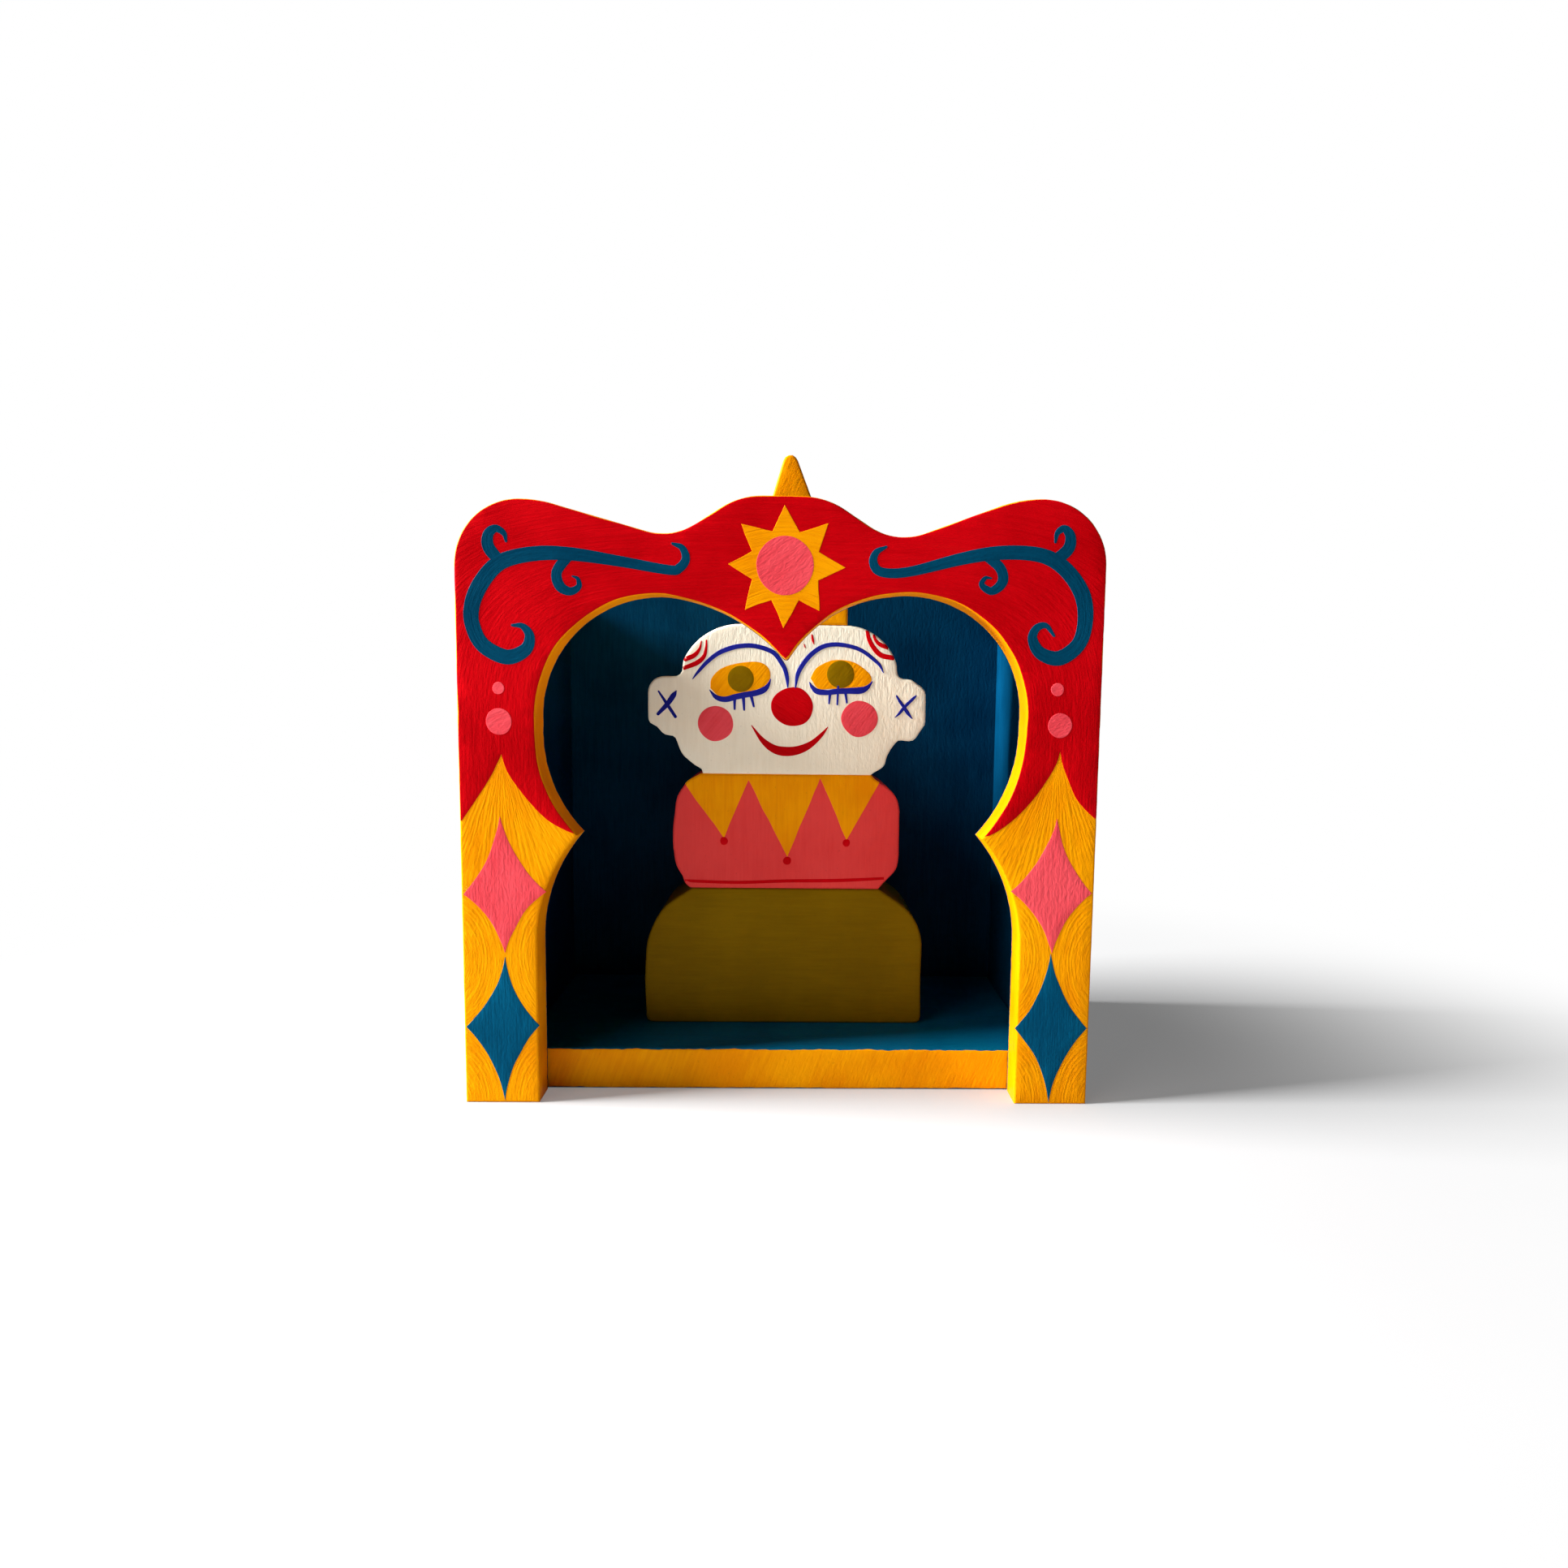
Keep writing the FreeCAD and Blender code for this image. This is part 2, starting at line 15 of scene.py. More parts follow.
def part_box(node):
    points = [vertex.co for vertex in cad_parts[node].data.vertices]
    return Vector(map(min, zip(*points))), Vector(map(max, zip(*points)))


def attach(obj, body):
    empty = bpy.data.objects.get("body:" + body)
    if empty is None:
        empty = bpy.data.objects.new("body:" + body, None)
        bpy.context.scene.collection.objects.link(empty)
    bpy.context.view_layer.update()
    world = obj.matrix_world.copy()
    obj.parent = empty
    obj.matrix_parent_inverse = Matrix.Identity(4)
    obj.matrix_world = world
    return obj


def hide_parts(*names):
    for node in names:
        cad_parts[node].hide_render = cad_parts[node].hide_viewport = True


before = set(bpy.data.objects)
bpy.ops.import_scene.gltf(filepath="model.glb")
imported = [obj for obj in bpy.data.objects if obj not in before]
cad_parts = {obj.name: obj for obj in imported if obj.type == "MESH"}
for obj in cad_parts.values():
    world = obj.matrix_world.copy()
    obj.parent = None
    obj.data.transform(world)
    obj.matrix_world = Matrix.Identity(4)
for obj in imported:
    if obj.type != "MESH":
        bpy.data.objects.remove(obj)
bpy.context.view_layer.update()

LOG = logging.getLogger("jack_in_the_box")
MM = 0.001
TINY = 1e-9
BRUSH_MAP = "brush"
WEAR = "wear"

Colour = tuple[int, int, int]
Point = tuple[float, float]
Line = Sequence[Sequence[float]]
Filling = tuple[list[Vector], list[list[int]]]
Strokes = Callable[[float, float], Point]


class Flow:
    """A value in a shader that takes part in Python sums and adds a Math node for each."""

    def __init__(self, graph: "Graph", socket: bpy.types.NodeSocket) -> None:
        """Keeps the socket and the graph that it is in."""
        self.graph = graph
        self.socket = socket

    def _math(self, operation: str, first: "Flow | float", second: "Flow | float") -> "Flow":
        """Adds the Math node for one sum."""
        return self.graph.flow("ShaderNodeMath", {"operation": operation}, {0: first, 1: second})

    def __add__(self, other: "Flow | float") -> "Flow":
        """This value plus another."""
        return self._math("ADD", self, other)

    def __sub__(self, other: "Flow | float") -> "Flow":
        """This value less another."""
        return self._math("SUBTRACT", self, other)

    def __rsub__(self, other: float) -> "Flow":
        """A number less this value."""
        return self._math("SUBTRACT", other, self)

    def __mul__(self, other: "Flow | float") -> "Flow":
        """This value times another."""
        return self._math("MULTIPLY", self, other)

    __radd__ = __add__
    __rmul__ = __mul__

    def __abs__(self) -> "Flow":
        """This value without its sign."""
        return self.graph.flow("ShaderNodeMath", {"operation": "ABSOLUTE"}, {0: self})

    def band(self, low: float, high: float) -> "Flow":
        """Rises smoothly from 0 at low to 1 at high."""
        return self.graph.flow("ShaderNodeMapRange", {"interpolation_type": "SMOOTHSTEP"},
                               {"Value": self, "From Min": low, "From Max": high}, "Result")


class Graph:
    """The nodes of one material or world."""

    # How far the shift of a pattern moves it along each axis.
    SHIFTS = (1.0, 0.7, 1.3)

    def __init__(self, tree: bpy.types.NodeTree) -> None:
        """Empties the tree and keeps it."""
        tree.nodes.clear()
        self.tree = tree

    def node(self, kind: str, settings: dict | None = None, sockets: dict | None = None) -> bpy.types.Node:
        """Adds one node.

        Args:
            kind: The node's type.
            settings: Its own settings, which are set first.
            sockets: Values or links of its inputs, by name or number.

        Returns:
            The new node.
        """
        made = self.tree.nodes.new(kind)
        for name, value in (settings or {}).items():
            setattr(made, name, value)
        for name, value in (sockets or {}).items():
            link = value.socket if isinstance(value, Flow) else value
            if isinstance(link, bpy.types.NodeSocket):
                self.tree.links.new(link, made.inputs[name])
            else:
                made.inputs[name].default_value = link
        return made

    def flow(self, kind: str, settings: dict | None = None, sockets: dict | None = None,
             output: str | int = 0) -> Flow:
        """Adds one node and gives one of its outputs for use in sums."""
        return Flow(self, self.node(kind, settings, sockets).outputs[output])

    def mix(self, factor: Flow, first: "Flow | Sequence[float]", second: "Flow | Sequence[float]") -> Flow:
        """Mixes two colours by a value."""
        settings = {"data_type": "RGBA", "clamp_factor": True}
        return self.flow("ShaderNodeMix", settings, {0: factor, 6: first, 7: second}, 2)

    def noise(self, vector: bpy.types.NodeSocket, scale: float, detail: float = 2.0) -> Flow:
        """Soft noise over a vector."""
        sockets = {"Vector": vector, "Scale": scale, "Detail": detail}
        return self.flow("ShaderNodeTexNoise", {}, sockets, "Fac")

    def drawn_out(self, vector: bpy.types.NodeSocket, length: float, width: float, shift: float) -> Flow:
        """Noise pulled out into streaks.

        Args:
            vector: Where the point lies: along the strokes, then across them, in millimetres.
            length: How long a streak is.
            width: How wide it is.
            shift: Moves the pattern, so that two of them differ.

        Returns:
            The noise, from 0 to 1.
        """
        moved = tuple(shift * share for share in self.SHIFTS)
        sockets = {0: vector, 1: (1.0 / length, 1.0 / width, 1.0), 2: moved}
        drawn = self.node("ShaderNodeVectorMath", {"operation": "MULTIPLY_ADD"}, sockets)
        return self.noise(drawn.outputs[0], 1.0)

    def place(self) -> bpy.types.NodeSocket:
        """Where a point lies on the object, in metres."""
        return self.node("ShaderNodeTexCoord").outputs["Object"]

    def relief(self, height: Flow, distance: float) -> bpy.types.NodeSocket:
        """The normal of a surface with this height, which is in units of the distance."""
        return self.node("ShaderNodeBump", {}, {"Height": height, "Distance": distance}).outputs[0]

    def surface(self, sockets: dict) -> None:
        """Adds the shader of a surface and sends it to the output."""
        shader = self.node("ShaderNodeBsdfPrincipled", {}, sockets)
        self.node("ShaderNodeOutputMaterial", {}, {"Surface": shader.outputs[0]})


def new_material(name: str) -> tuple[bpy.types.Material, Graph]:
    """A new material and its empty graph.

    Args:
        name: The material's name.

    Returns:
        The material and the graph.
    """
    made = bpy.data.materials.new(name)
    made.use_nodes = True
    return made, Graph(made.node_tree)


def tint(red: int, green: int, blue: int) -> tuple[float, float, float, float]:
    """A display colour as the linear colour that a shader takes.

    Args:
        red: How much red it has, from 0 to 255.
        green: How much green.
        blue: How much blue.

    Returns:
        The linear colour, with full cover.
    """
    levels = [value / 255.0 for value in (red, green, blue)]
    linear = [v / 12.92 if v <= 0.04045 else ((v + 0.055) / 1.055) ** 2.4 for v in levels]
    return (linear[0], linear[1], linear[2], 1.0)


@dataclass(frozen=True)
class Paint:
    """A brushed paint: lines left by the bristles, small ridges, dark pits, thin places and worn edges."""

    name: str
    slot: str
    deep: Colour
    pale: Colour
    under: Colour
    roughness: float = 0.4
    furrow: float = 0.07
    crest: float = 0.02
    thin: float = 0.12
    pits: float = 0.12

    # The length, width and shift of each kind of streak, in millimetres.
    BRISTLE = (9.0, 0.6, 7.7)
    BROAD = (20.0, 1.8, 3.1)
    SWIRL = (3.2, 1.3, 19.0)
    # The fineness of the grit and of the clouding, in waves to the metre.
    GRIT = 1300.0
    CLOUD = 42.0
    # The colour of a pit, the height of the grit in millimetres, and the gloss.
    PIT = (40, 22, 10)
    GRIT_HEIGHT = 0.014
    GLOSS = 0.02

    def material(self) -> bpy.types.Material:
        """The paint's material, made once and shared by every piece that has it."""
        found = bpy.data.materials.get(self.name)
        return found if found else self._mixed()

    def _mixed(self) -> bpy.types.Material:
        """Builds the nodes, with the heights of the relief in millimetres.

        Returns:
            The new material.
        """
        made, graph = new_material(self.name)
        brush = graph.node("ShaderNodeUVMap", {"uv_map": BRUSH_MAP}).outputs[0]
        place = graph.place()
        worn = graph.flow("ShaderNodeAttribute", {"attribute_name": WEAR}, {}, "Fac")
        bristle = graph.drawn_out(brush, *self.BRISTLE)
        broad = graph.drawn_out(brush, *self.BROAD)
        swirl = graph.drawn_out(brush, *self.SWIRL)
        grit = graph.noise(place, self.GRIT, 1.0)
        cloud = graph.noise(place, self.CLOUD, 3.0)
        tone = (bristle * 0.2 + broad * 0.2 + cloud * 0.6).band(0.36, 0.64)
        colour = graph.mix(tone, tint(*self.deep), tint(*self.pale))
        bare = (broad * 0.6 + cloud * 0.4).band(0.58, 0.70) * self.thin
        colour = graph.mix(bare, colour, tint(*self.under))
        colour = graph.mix(grit.band(0.72, 0.78) * self.pits, colour, tint(*self.PIT))
        rubbed = worn * (cloud * 0.6 + grit * 0.4).band(0.46, 0.60) * 0.8
        colour = graph.mix(rubbed, colour, tint(*self.under))
        rough = (bristle - 0.5) * 0.2 + (cloud - 0.5) * 0.15 + self.roughness
        ridge = abs(swirl - 0.5) * -8.0
        height = bristle * self.furrow + broad * (self.furrow * 0.2) + ridge * self.crest
        normal = graph.relief(height + grit * self.GRIT_HEIGHT, MM)
        graph.surface({"Base Color": colour, "Roughness": rough, "Normal": normal,
                       "Specular IOR Level": self.GLOSS})
        return made


@dataclass(frozen=True)
class Beech:
    """Bare turned beech: fine grain along the dowel and the short dark flecks of the wood."""

    name: str = "bare_beech"
    slot: str = "beech"
    deep: Colour = (196, 152, 102)
    pale: Colour = (226, 190, 142)
    fleck: Colour = (140, 92, 52)
    depth: float = 0.08

    # How fine the grain is across the dowel and, last, along it.
    STRETCH = (1000.0, 1000.0, 90.0)

    def material(self) -> bpy.types.Material:
        """Builds the nodes.

        Returns:
            The new material.
        """
        made, graph = new_material(self.name)
        sockets = {0: graph.place(), 1: self.STRETCH}
        scaled = graph.node("ShaderNodeVectorMath", {"operation": "MULTIPLY"}, sockets).outputs[0]
        grain = graph.noise(scaled, 1.4, 3.0)
        fleck = graph.noise(scaled, 4.0, 0.0).band(0.66, 0.74)
        colour = graph.mix(grain.band(0.3, 0.7), tint(*self.deep), tint(*self.pale))
        colour = graph.mix(fleck * 0.6, colour, tint(*self.fleck))
        normal = graph.relief(grain - fleck * 0.4, self.depth * MM)
        graph.surface({"Base Color": colour, "Roughness": grain * 0.2 + 0.5, "Normal": normal})
        return made


@dataclass(frozen=True)
class PinSteel:
    """Drawn steel wire: bright, with fine lines along it."""

    name: str = "pin_steel"
    slot: str = "steel"
    deep: Colour = (150, 150, 150)
    pale: Colour = (190, 190, 188)
    fineness: float = 1500.0

    def material(self) -> bpy.types.Material:
        """Builds the nodes.

        Returns:
            The new material.
        """
        made, graph = new_material(self.name)
        drawn = graph.noise(graph.place(), self.fineness)
        colour = graph.mix(drawn, tint(*self.deep), tint(*self.pale))
        graph.surface({"Base Color": colour, "Roughness": drawn * 0.2 + 0.25, "Metallic": 1.0})
        return made


RED = Paint("red_coat", "red_paint", (178, 0, 8), (204, 3, 14), (186, 20, 10), furrow=0.08)
DARK_RED = Paint("dark_red_line", "red_paint", (192, 0, 10), (212, 3, 18), (170, 6, 12))
YELLOW = Paint("yellow_coat", "yellow_paint", (236, 140, 0), (252, 164, 2), (214, 112, 0),
               furrow=0.17, crest=0.022, thin=0.06)
EVEN_YELLOW = replace(YELLOW, name="even_yellow_coat", furrow=0.05, crest=0.02, thin=0.12)
TEAL = Paint("teal_ornament", "teal_paint", (0, 70, 102), (2, 86, 120), (10, 50, 72), furrow=0.09)
SCROLL_TEAL = Paint("teal_scroll", "teal_paint", (0, 54, 80), (2, 68, 96), (12, 40, 60), furrow=0.09)
BLUE = Paint("blue_coat", "blue_paint", (0, 48, 78), (2, 64, 98), (0, 34, 56), furrow=0.035, thin=0.3)
# Painted shade: the back panel takes a darker copy of the wall blue, for the shade deep inside the box.
SHADED_BACK_BLUE = replace(BLUE, name="painted_shade_back_blue_coat", deep=(0, 42, 70), pale=(2, 57, 88), under=(0, 30, 52))
# Painted shade: the left wall takes a darker copy of the wall blue, for the shade on the inside of the box.
SHADED_LEFT_BLUE = replace(BLUE, name="painted_shade_left_blue_coat", deep=(0, 32, 66), pale=(1, 44, 82), under=(0, 24, 50))
FLOOR_BLUE = Paint("floor_coat", "blue_paint", (0, 80, 114), (3, 95, 130), (0, 60, 88), furrow=0.05, thin=0.3)
PINK = Paint("pink_coat", "pink_paint", (228, 66, 76), (244, 84, 94), (212, 58, 62), crest=0.032)
# Painted shade: a copy of the pink with less green and blue for the body, which stands for the warm bounced
# light in the box's shade.
SHADED_BODY_PINK = Paint("painted_shade_body_pink_coat", "pink_paint", (229, 63, 62), (237, 72, 70), (212, 54, 56), thin=0.04)
WHITE = Paint("white_coat", "white_paint", (244, 234, 209), (254, 246, 223), (234, 222, 195),
              furrow=0.05, crest=0.028)
OLIVE = Paint("olive_coat", "olive_paint", (122, 92, 0), (134, 102, 2), (112, 84, 0), furrow=0.03, thin=0.05)
NAVY = Paint("navy_line", "navy_paint", (20, 24, 118), (34, 40, 150), (44, 50, 130))
BEECH = Beech()
STEEL = PinSteel()


def sides(points: Sequence) -> list[tuple]:
    """Each point of a closed line with the one after it."""
    return list(zip(points, [*points[1:], points[0]]))


class Loop:
    """A closed line in the plane of a face, anticlockwise, in millimetres."""

    # A bend that is sharper than this is a corner.
    CORNER = math.radians(24.0)
    # Points of a CAD mesh that are nearer than this, in metres, are one.
    SAME = 1e-6
    # Keeps the offset of a sharp corner from running far out.
    MITRE = 0.5
    tree: kdtree.KDTree | None = None

    def __init__(self, points: Line) -> None:
        """Keeps the points, turned round if they run clockwise.

        Args:
            points: The points, of which the first two values are used.
        """
        kept = [Vector((p[0], p[1])) for p in points]
        area = sum(a.x * b.y - b.x * a.y for a, b in sides(kept))
        self.points = kept if area > 0 else kept[::-1]

    @classmethod
    def _as_is(cls, points: list[Vector]) -> "Loop":
        """A line whose points keep their order.

        Args:
            points: The points.

        Returns:
            The line.
        """
        fresh = cls.__new__(cls)
        fresh.points = points
        return fresh

    @classmethod
    def rectangle(cls, low: Point, high: Point) -> "Loop":
        """A rectangle between two corners."""
        return cls([low, (high[0], low[1]), high, (low[0], high[1])])

    @classmethod
    def round(cls, centre: Point, wide: float, tall: float, count: int = 44) -> "Loop":
        """An ellipse about a centre."""
        turns = [2.0 * math.pi * k / count for k in range(count)]
        return cls([(centre[0] + wide * math.cos(t), centre[1] + tall * math.sin(t)) for t in turns])

    @classmethod
    def of_front(cls, node: str) -> "Loop":
        """The outline of a CAD node's front face.

        Args:
            node: The node's name.

        Returns:
            The outline in X and Z.
        """
        mesh = bmesh.new()
        mesh.from_mesh(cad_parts[node].data)
        bmesh.ops.remove_doubles(mesh, verts=mesh.verts, dist=cls.SAME)
        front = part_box(node)[0].y
        flat = {f for f in mesh.faces if all(abs(v.co.y - front) < cls.SAME for v in f.verts)}
        after = {}
        for face in flat:
            for corner in face.loops:
                if not all(f in flat for f in corner.edge.link_faces):
                    after[corner.vert.index] = corner.link_loop_next.vert
        # The set of faces has no fixed order, so the lowest number starts the line in each run.
        points, at = [], min(after)
        for _ in range(len(after)):
            vertex = after[at]
            points.append((vertex.co.x / MM, vertex.co.z / MM))
            at = vertex.index
        mesh.free()
        return cls(points)

    def _ways(self) -> list[Vector]:
        """The unit direction of the line after each point."""
        return [(b - a).normalized() for a, b in sides(self.points)]

    def evened(self, step: float) -> "Loop":
        """The same line with points at about equal steps, and its corners kept.

        Args:
            step: The distance between points.

        Returns:
            The new line.
        """
        ways, count = self._ways(), len(self.points)
        corners = [k for k in range(count) if ways[k - 1].angle(ways[k]) > self.CORNER] or [0]
        result = []
        for first, last in zip(corners, corners[1:] + [corners[0] + count]):
            run = [self.points[k % count] for k in range(first, last + 1)]
            result += along_line(run, step)[:-1]
        return Loop(result)

    def offset(self, distance: float) -> "Loop":
        """The line moved outwards.

        Args:
            distance: How far it moves, below zero for inwards.

        Returns:
            The new line.
        """
        ways = self._ways()
        moved = []
        for k, point in enumerate(self.points):
            before, after = ways[k - 1], ways[k]
            out = Vector((before.y + after.y, -before.x - after.x))
            reach = max(1.0 + before.dot(after), self.MITRE)
            moved.append(point + out * (distance / reach))
        return self._as_is(moved)

    def wobbled(self, amount: float, wave: float, seed: float) -> "Loop":
        """The line as a hand would paint it, off by at most an amount in wavers of a length."""
        return self._as_is([p + Vector(stray(p, amount, wave, seed)) for p in self.points])

    def drawn(self, strays: Line) -> "Loop":
        """The line as the saw cut it.

        Args:
            strays: Where the saw left the line: the place, how far along it shows, and the way it went.

        Returns:
            The new line.
        """
        moved = [p.copy() for p in self.points]
        for x, z, reach, right, up in strays:
            for k, p in enumerate(self.points):
                near = math.exp(-((p - Vector((x, z))).length / reach) ** 2)
                moved[k] += Vector((right, up)) * near
        return self._as_is(moved)

    def distance(self, point: Vector) -> float:
        """How far a point is from the line, whose own points lie close together.

        Args:
            point: The point.

        Returns:
            The distance.
        """
        if self.tree is None:
            self.tree = kdtree.KDTree(len(self.points))
            for k, p in enumerate(self.points):
                self.tree.insert(p.to_3d(), k)
            self.tree.balance()
        flat = Vector((point.x, point.y))
        near = self.tree.find(flat.to_3d())[1]
        before, at, after = (self.points[(near + k) % len(self.points)] for k in (-1, 0, 1))
        return min((flat - foot_on(flat, a, b)).length for a, b in ((before, at), (at, after)))

    def holds(self, point: Vector) -> bool:
        """Whether a point is inside the line."""
        crossed = [(a, b) for a, b in sides(self.points) if (a.y > point.y) != (b.y > point.y)]
        return sum(point.x < a.x + (point.y - a.y) / (b.y - a.y) * (b.x - a.x) for a, b in crossed) % 2 == 1

    def walked(self) -> list[float]:
        """How far along the line each point is, with the whole length last."""
        return [0.0, *accumulate((b - a).length for a, b in sides(self.points))]

    def span(self, start: Point, end: Point) -> list[int]:
        """A stretch of the line.

        Args:
            start: It begins at the point nearest to this.
            end: It ends at the point nearest to this.

        Returns:
            The numbers of its points.
        """
        count = len(self.points)
        first, last = (min(range(count), key=lambda k: (self.points[k] - Vector(spot)).length)
                       for spot in (start, end))
        return [(first + k) % count for k in range((last - first) % count + 1)]

    def stretch(self, start: Point, end: Point) -> list[Vector]:
        """The points from the one nearest to start, on to the one nearest to end."""
        return [self.points[k] for k in self.span(start, end)]


def foot_on(point: Vector, start: Vector, end: Vector) -> Vector:
    """The point of a straight piece that is nearest to a point.

    Args:
        point: The point.
        start: One end of the piece.
        end: Its other end.

    Returns:
        The nearest point.
    """
    way = end - start
    part = (point - start).dot(way) / max(way.length_squared, TINY)
    return start + way * min(1.0, max(0.0, part))


# A place in the noise that has nothing in common with where it is first read.
ELSEWHERE = Vector((31.7, 5.3, 9.1))


def stray(point: Vector, amount: float, wave: float, seed: float) -> Point:
    """How far a hand strays at a point of a painted line."""
    at = Vector((point.x / wave, point.y / wave, seed))
    return (amount * noise.noise(at), amount * noise.noise(at + ELSEWHERE))


def along_line(points: Sequence[Vector], step: float) -> list[Vector]:
    """Points at equal steps along an open line, with both ends kept.

    Args:
        points: The line.
        step: About how far apart they are.

    Returns:
        The new points.
    """
    lengths = [(b - a).length for a, b in zip(points, points[1:])]
    count = max(1, round(sum(lengths) / step))
    result, leg, walked = [points[0]], 0, 0.0
    for k in range(1, count):
        target = sum(lengths) * k / count
        while walked + lengths[leg] < target:
            walked += lengths[leg]
            leg += 1
        result.append(points[leg].lerp(points[leg + 1], (target - walked) / lengths[leg]))
    return result + [points[-1]]


def smooth_line(points: Line, parts: int = 8) -> list[Vector]:
    """A smooth line through points of any number of values.

    Args:
        points: The points that the line goes through.
        parts: How many pieces each leg is cut in.

    Returns:
        The points along the line.
    """
    knots = [Vector(p) for p in points]
    ends = [knots[0] * 2.0 - knots[1]] + knots + [knots[-1] * 2.0 - knots[-2]]
    line = []
    for a, b, c, d in zip(ends, ends[1:], ends[2:], ends[3:]):
        for k in range(parts):
            t = k / parts
            line.append(0.5 * (2.0 * b + (c - a) * t + (2.0 * a - 5.0 * b + 4.0 * c - d) * t * t
                               + (3.0 * b - a - 3.0 * c + d) * t * t * t))
    return line + [knots[-1]]


class Axis(Enum):
    """The way that a board's thickness runs."""

    ACROSS = "x"
    DEEP = "y"
    UP = "z"

    def place(self, first: float, second: float, depth: float) -> Vector:
        """A point of the object, in metres, from a point of the board's face and a depth."""
        spots = {"x": (depth, first, second), "y": (first, depth, second), "z": (first, second, depth)}
        return Vector(spots[self.value]) * MM


def level(first: float, second: float) -> Point:
    """Strokes that run level."""
    return (first, second)


def upright(first: float, second: float) -> Point:
    """Strokes that run up and down."""
    return (second, first)


def ringed(centre: Point, pace: float = 9.0) -> Strokes:
    """Strokes that run round a centre.

    Args:
        centre: The centre.
        pace: The length of a stroke for each radian.

    Returns:
        The way of the brush.
    """
    def strokes(first: float, second: float) -> Point:
        """The angle as a length, and the distance from the centre."""
        away = Vector((first - centre[0], second - centre[1]))
        return (math.atan2(away.y, away.x) * pace, away.length)
    return strokes


def slanted(degrees: float) -> Strokes:
    """Strokes at an angle to the level."""
    cosine, sine = math.cos(math.radians(degrees)), math.sin(math.radians(degrees))
    return lambda first, second: (first * cosine + second * sine, second * cosine - first * sine)


def uneven(first: float, second: float, seed: float, pace: float = 0.035) -> float:
    """The slight unevenness of a hand-finished face, from -1 to 1."""
    return noise.noise(Vector((first * pace, second * pace, seed)))


class Work:
    """Gathers the faces of one piece, with its brush map and its wear, and makes the object."""

    def __init__(self, name: str) -> None:
        """Starts an empty piece."""
        self.name = name
        self.places: list[Vector] = []
        self.wear: list[float] = []
        self.faces: list[list[int]] = []
        self.brush: list[list[Point]] = []

    def point(self, place: Vector, wear: float = 0.0) -> int:
        """Adds a point.

        Args:
            place: Where it lies, in metres.
            wear: How worn the paint is there, from 0 to 1.

        Returns:
            Its number.
        """
        self.places.append(place)
        self.wear.append(wear)
        return len(self.places) - 1

    def face(self, corners: list[int], brush: list[Point]) -> None:
        """Adds a face with its brush map."""
        self.faces.append(corners)
        self.brush.append(brush)

    def band(self, low: list[int], high: list[int], along: list[float], depth: Point) -> None:
        """Joins two closed rows of points.

        Args:
            low: The first row.
            high: The second row.
            along: How far along the row each point is, with one value more for the last step.
            depth: The brush map's second value at each row.
        """
        count = len(low)
        for k in range(count):
            n = (k + 1) % count
            spots = [(k, 0), (k + 1, 0), (k + 1, 1), (k, 1)]
            self.face([low[k], low[n], high[n], high[k]], [(along[a], depth[b]) for a, b in spots])

    def swept(self, rows: list[list[int]], along: list[float], across: list[list[float]]) -> None:
        """Joins rows of points into a closed bar with two ends.

        Args:
            rows: The points of each row, in the same order round the bar.
            along: How far along the bar each row is.
            across: The brush map's second value at each point.
        """
        count = len(rows[0])
        for k in range(len(rows) - 1):
            for j in range(count):
                n = (j + 1) % count
                spots = [(k, j), (k, n), (k + 1, n), (k + 1, j)]
                self.face([rows[a][b] for a, b in spots], [(along[a], across[a][b]) for a, b in spots])
        for k in (0, len(rows) - 1):
            self.face(list(rows[k]), [(along[k], spot) for spot in across[k]])

    def cap(self, ring: Loop, row: list[int], grid: float, strokes: Strokes, lift: Callable[[Vector], int],
            more: Sequence[Vector] = ()) -> None:
        """Fills a closed row of points with faces.

        Args:
            ring: The row's outline.
            row: The numbers of its points.
            grid: The distance between points inside.
            strokes: The way of the brush.
            lift: Adds a point inside and gives its number.
            more: Other points inside that the faces use.
        """
        points, triangles = filled(ring.points, grid, more)
        number = row + [lift(p) for p in points[len(row):]]
        for corners in triangles:
            spots = [strokes(points[k].x, points[k].y) for k in corners]
            self.face([number[k] for k in corners], spots)

    def finish(self, paint: Paint, body: str, *nodes: str, sharp: float = 16.0) -> bpy.types.Object:
        """Makes the object, with its paint, and lets it ride.

        Args:
            paint: The finish.
            body: The CAD body that it moves with.
            nodes: The CAD nodes that it stands for.
            sharp: The angle above which an edge stays sharp.

        Returns:
            The object.
        """
        mesh = bpy.data.meshes.new(self.name)
        mesh.from_pydata([tuple(p) for p in self.places], [], self.faces)
        layer = mesh.uv_layers.new(name=BRUSH_MAP)
        flat = [value for face in self.brush for spot in face for value in spot]
        layer.data.foreach_set("uv", flat)
        mesh.attributes.new(WEAR, "FLOAT", "POINT").data.foreach_set("value", self.wear)
        turn_out(mesh)
        mesh.shade_smooth()
        mesh.set_sharp_from_angle(angle=math.radians(sharp))
        mesh.materials.append(paint.material())
        piece = bpy.data.objects.new(self.name, mesh)
        bpy.context.scene.collection.objects.link(piece)
        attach(piece, body)
        if nodes:
            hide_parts(*nodes)
        LOG.info("%s: %d faces in %s", self.name, len(mesh.polygons), paint.name)
        return piece


def turn_out(mesh: bpy.types.Mesh) -> None:
    """Turns every face of a closed mesh outwards.

    Args:
        mesh: The mesh, which is changed.
    """
    edited = bmesh.new()
    edited.from_mesh(mesh)
    bmesh.ops.recalc_face_normals(edited, faces=edited.faces)
    edited.to_mesh(mesh)
    edited.free()


# Shares of a grid: the distance of its rows, the slip of every second row, and the room at the outline.
ROW_SHARE = 0.866
SLIP_SHARE = 0.25
ROOM_SHARE = 0.4
# Points nearer than this, in millimetres, become one when a face is filled.
WELD = 1e-5


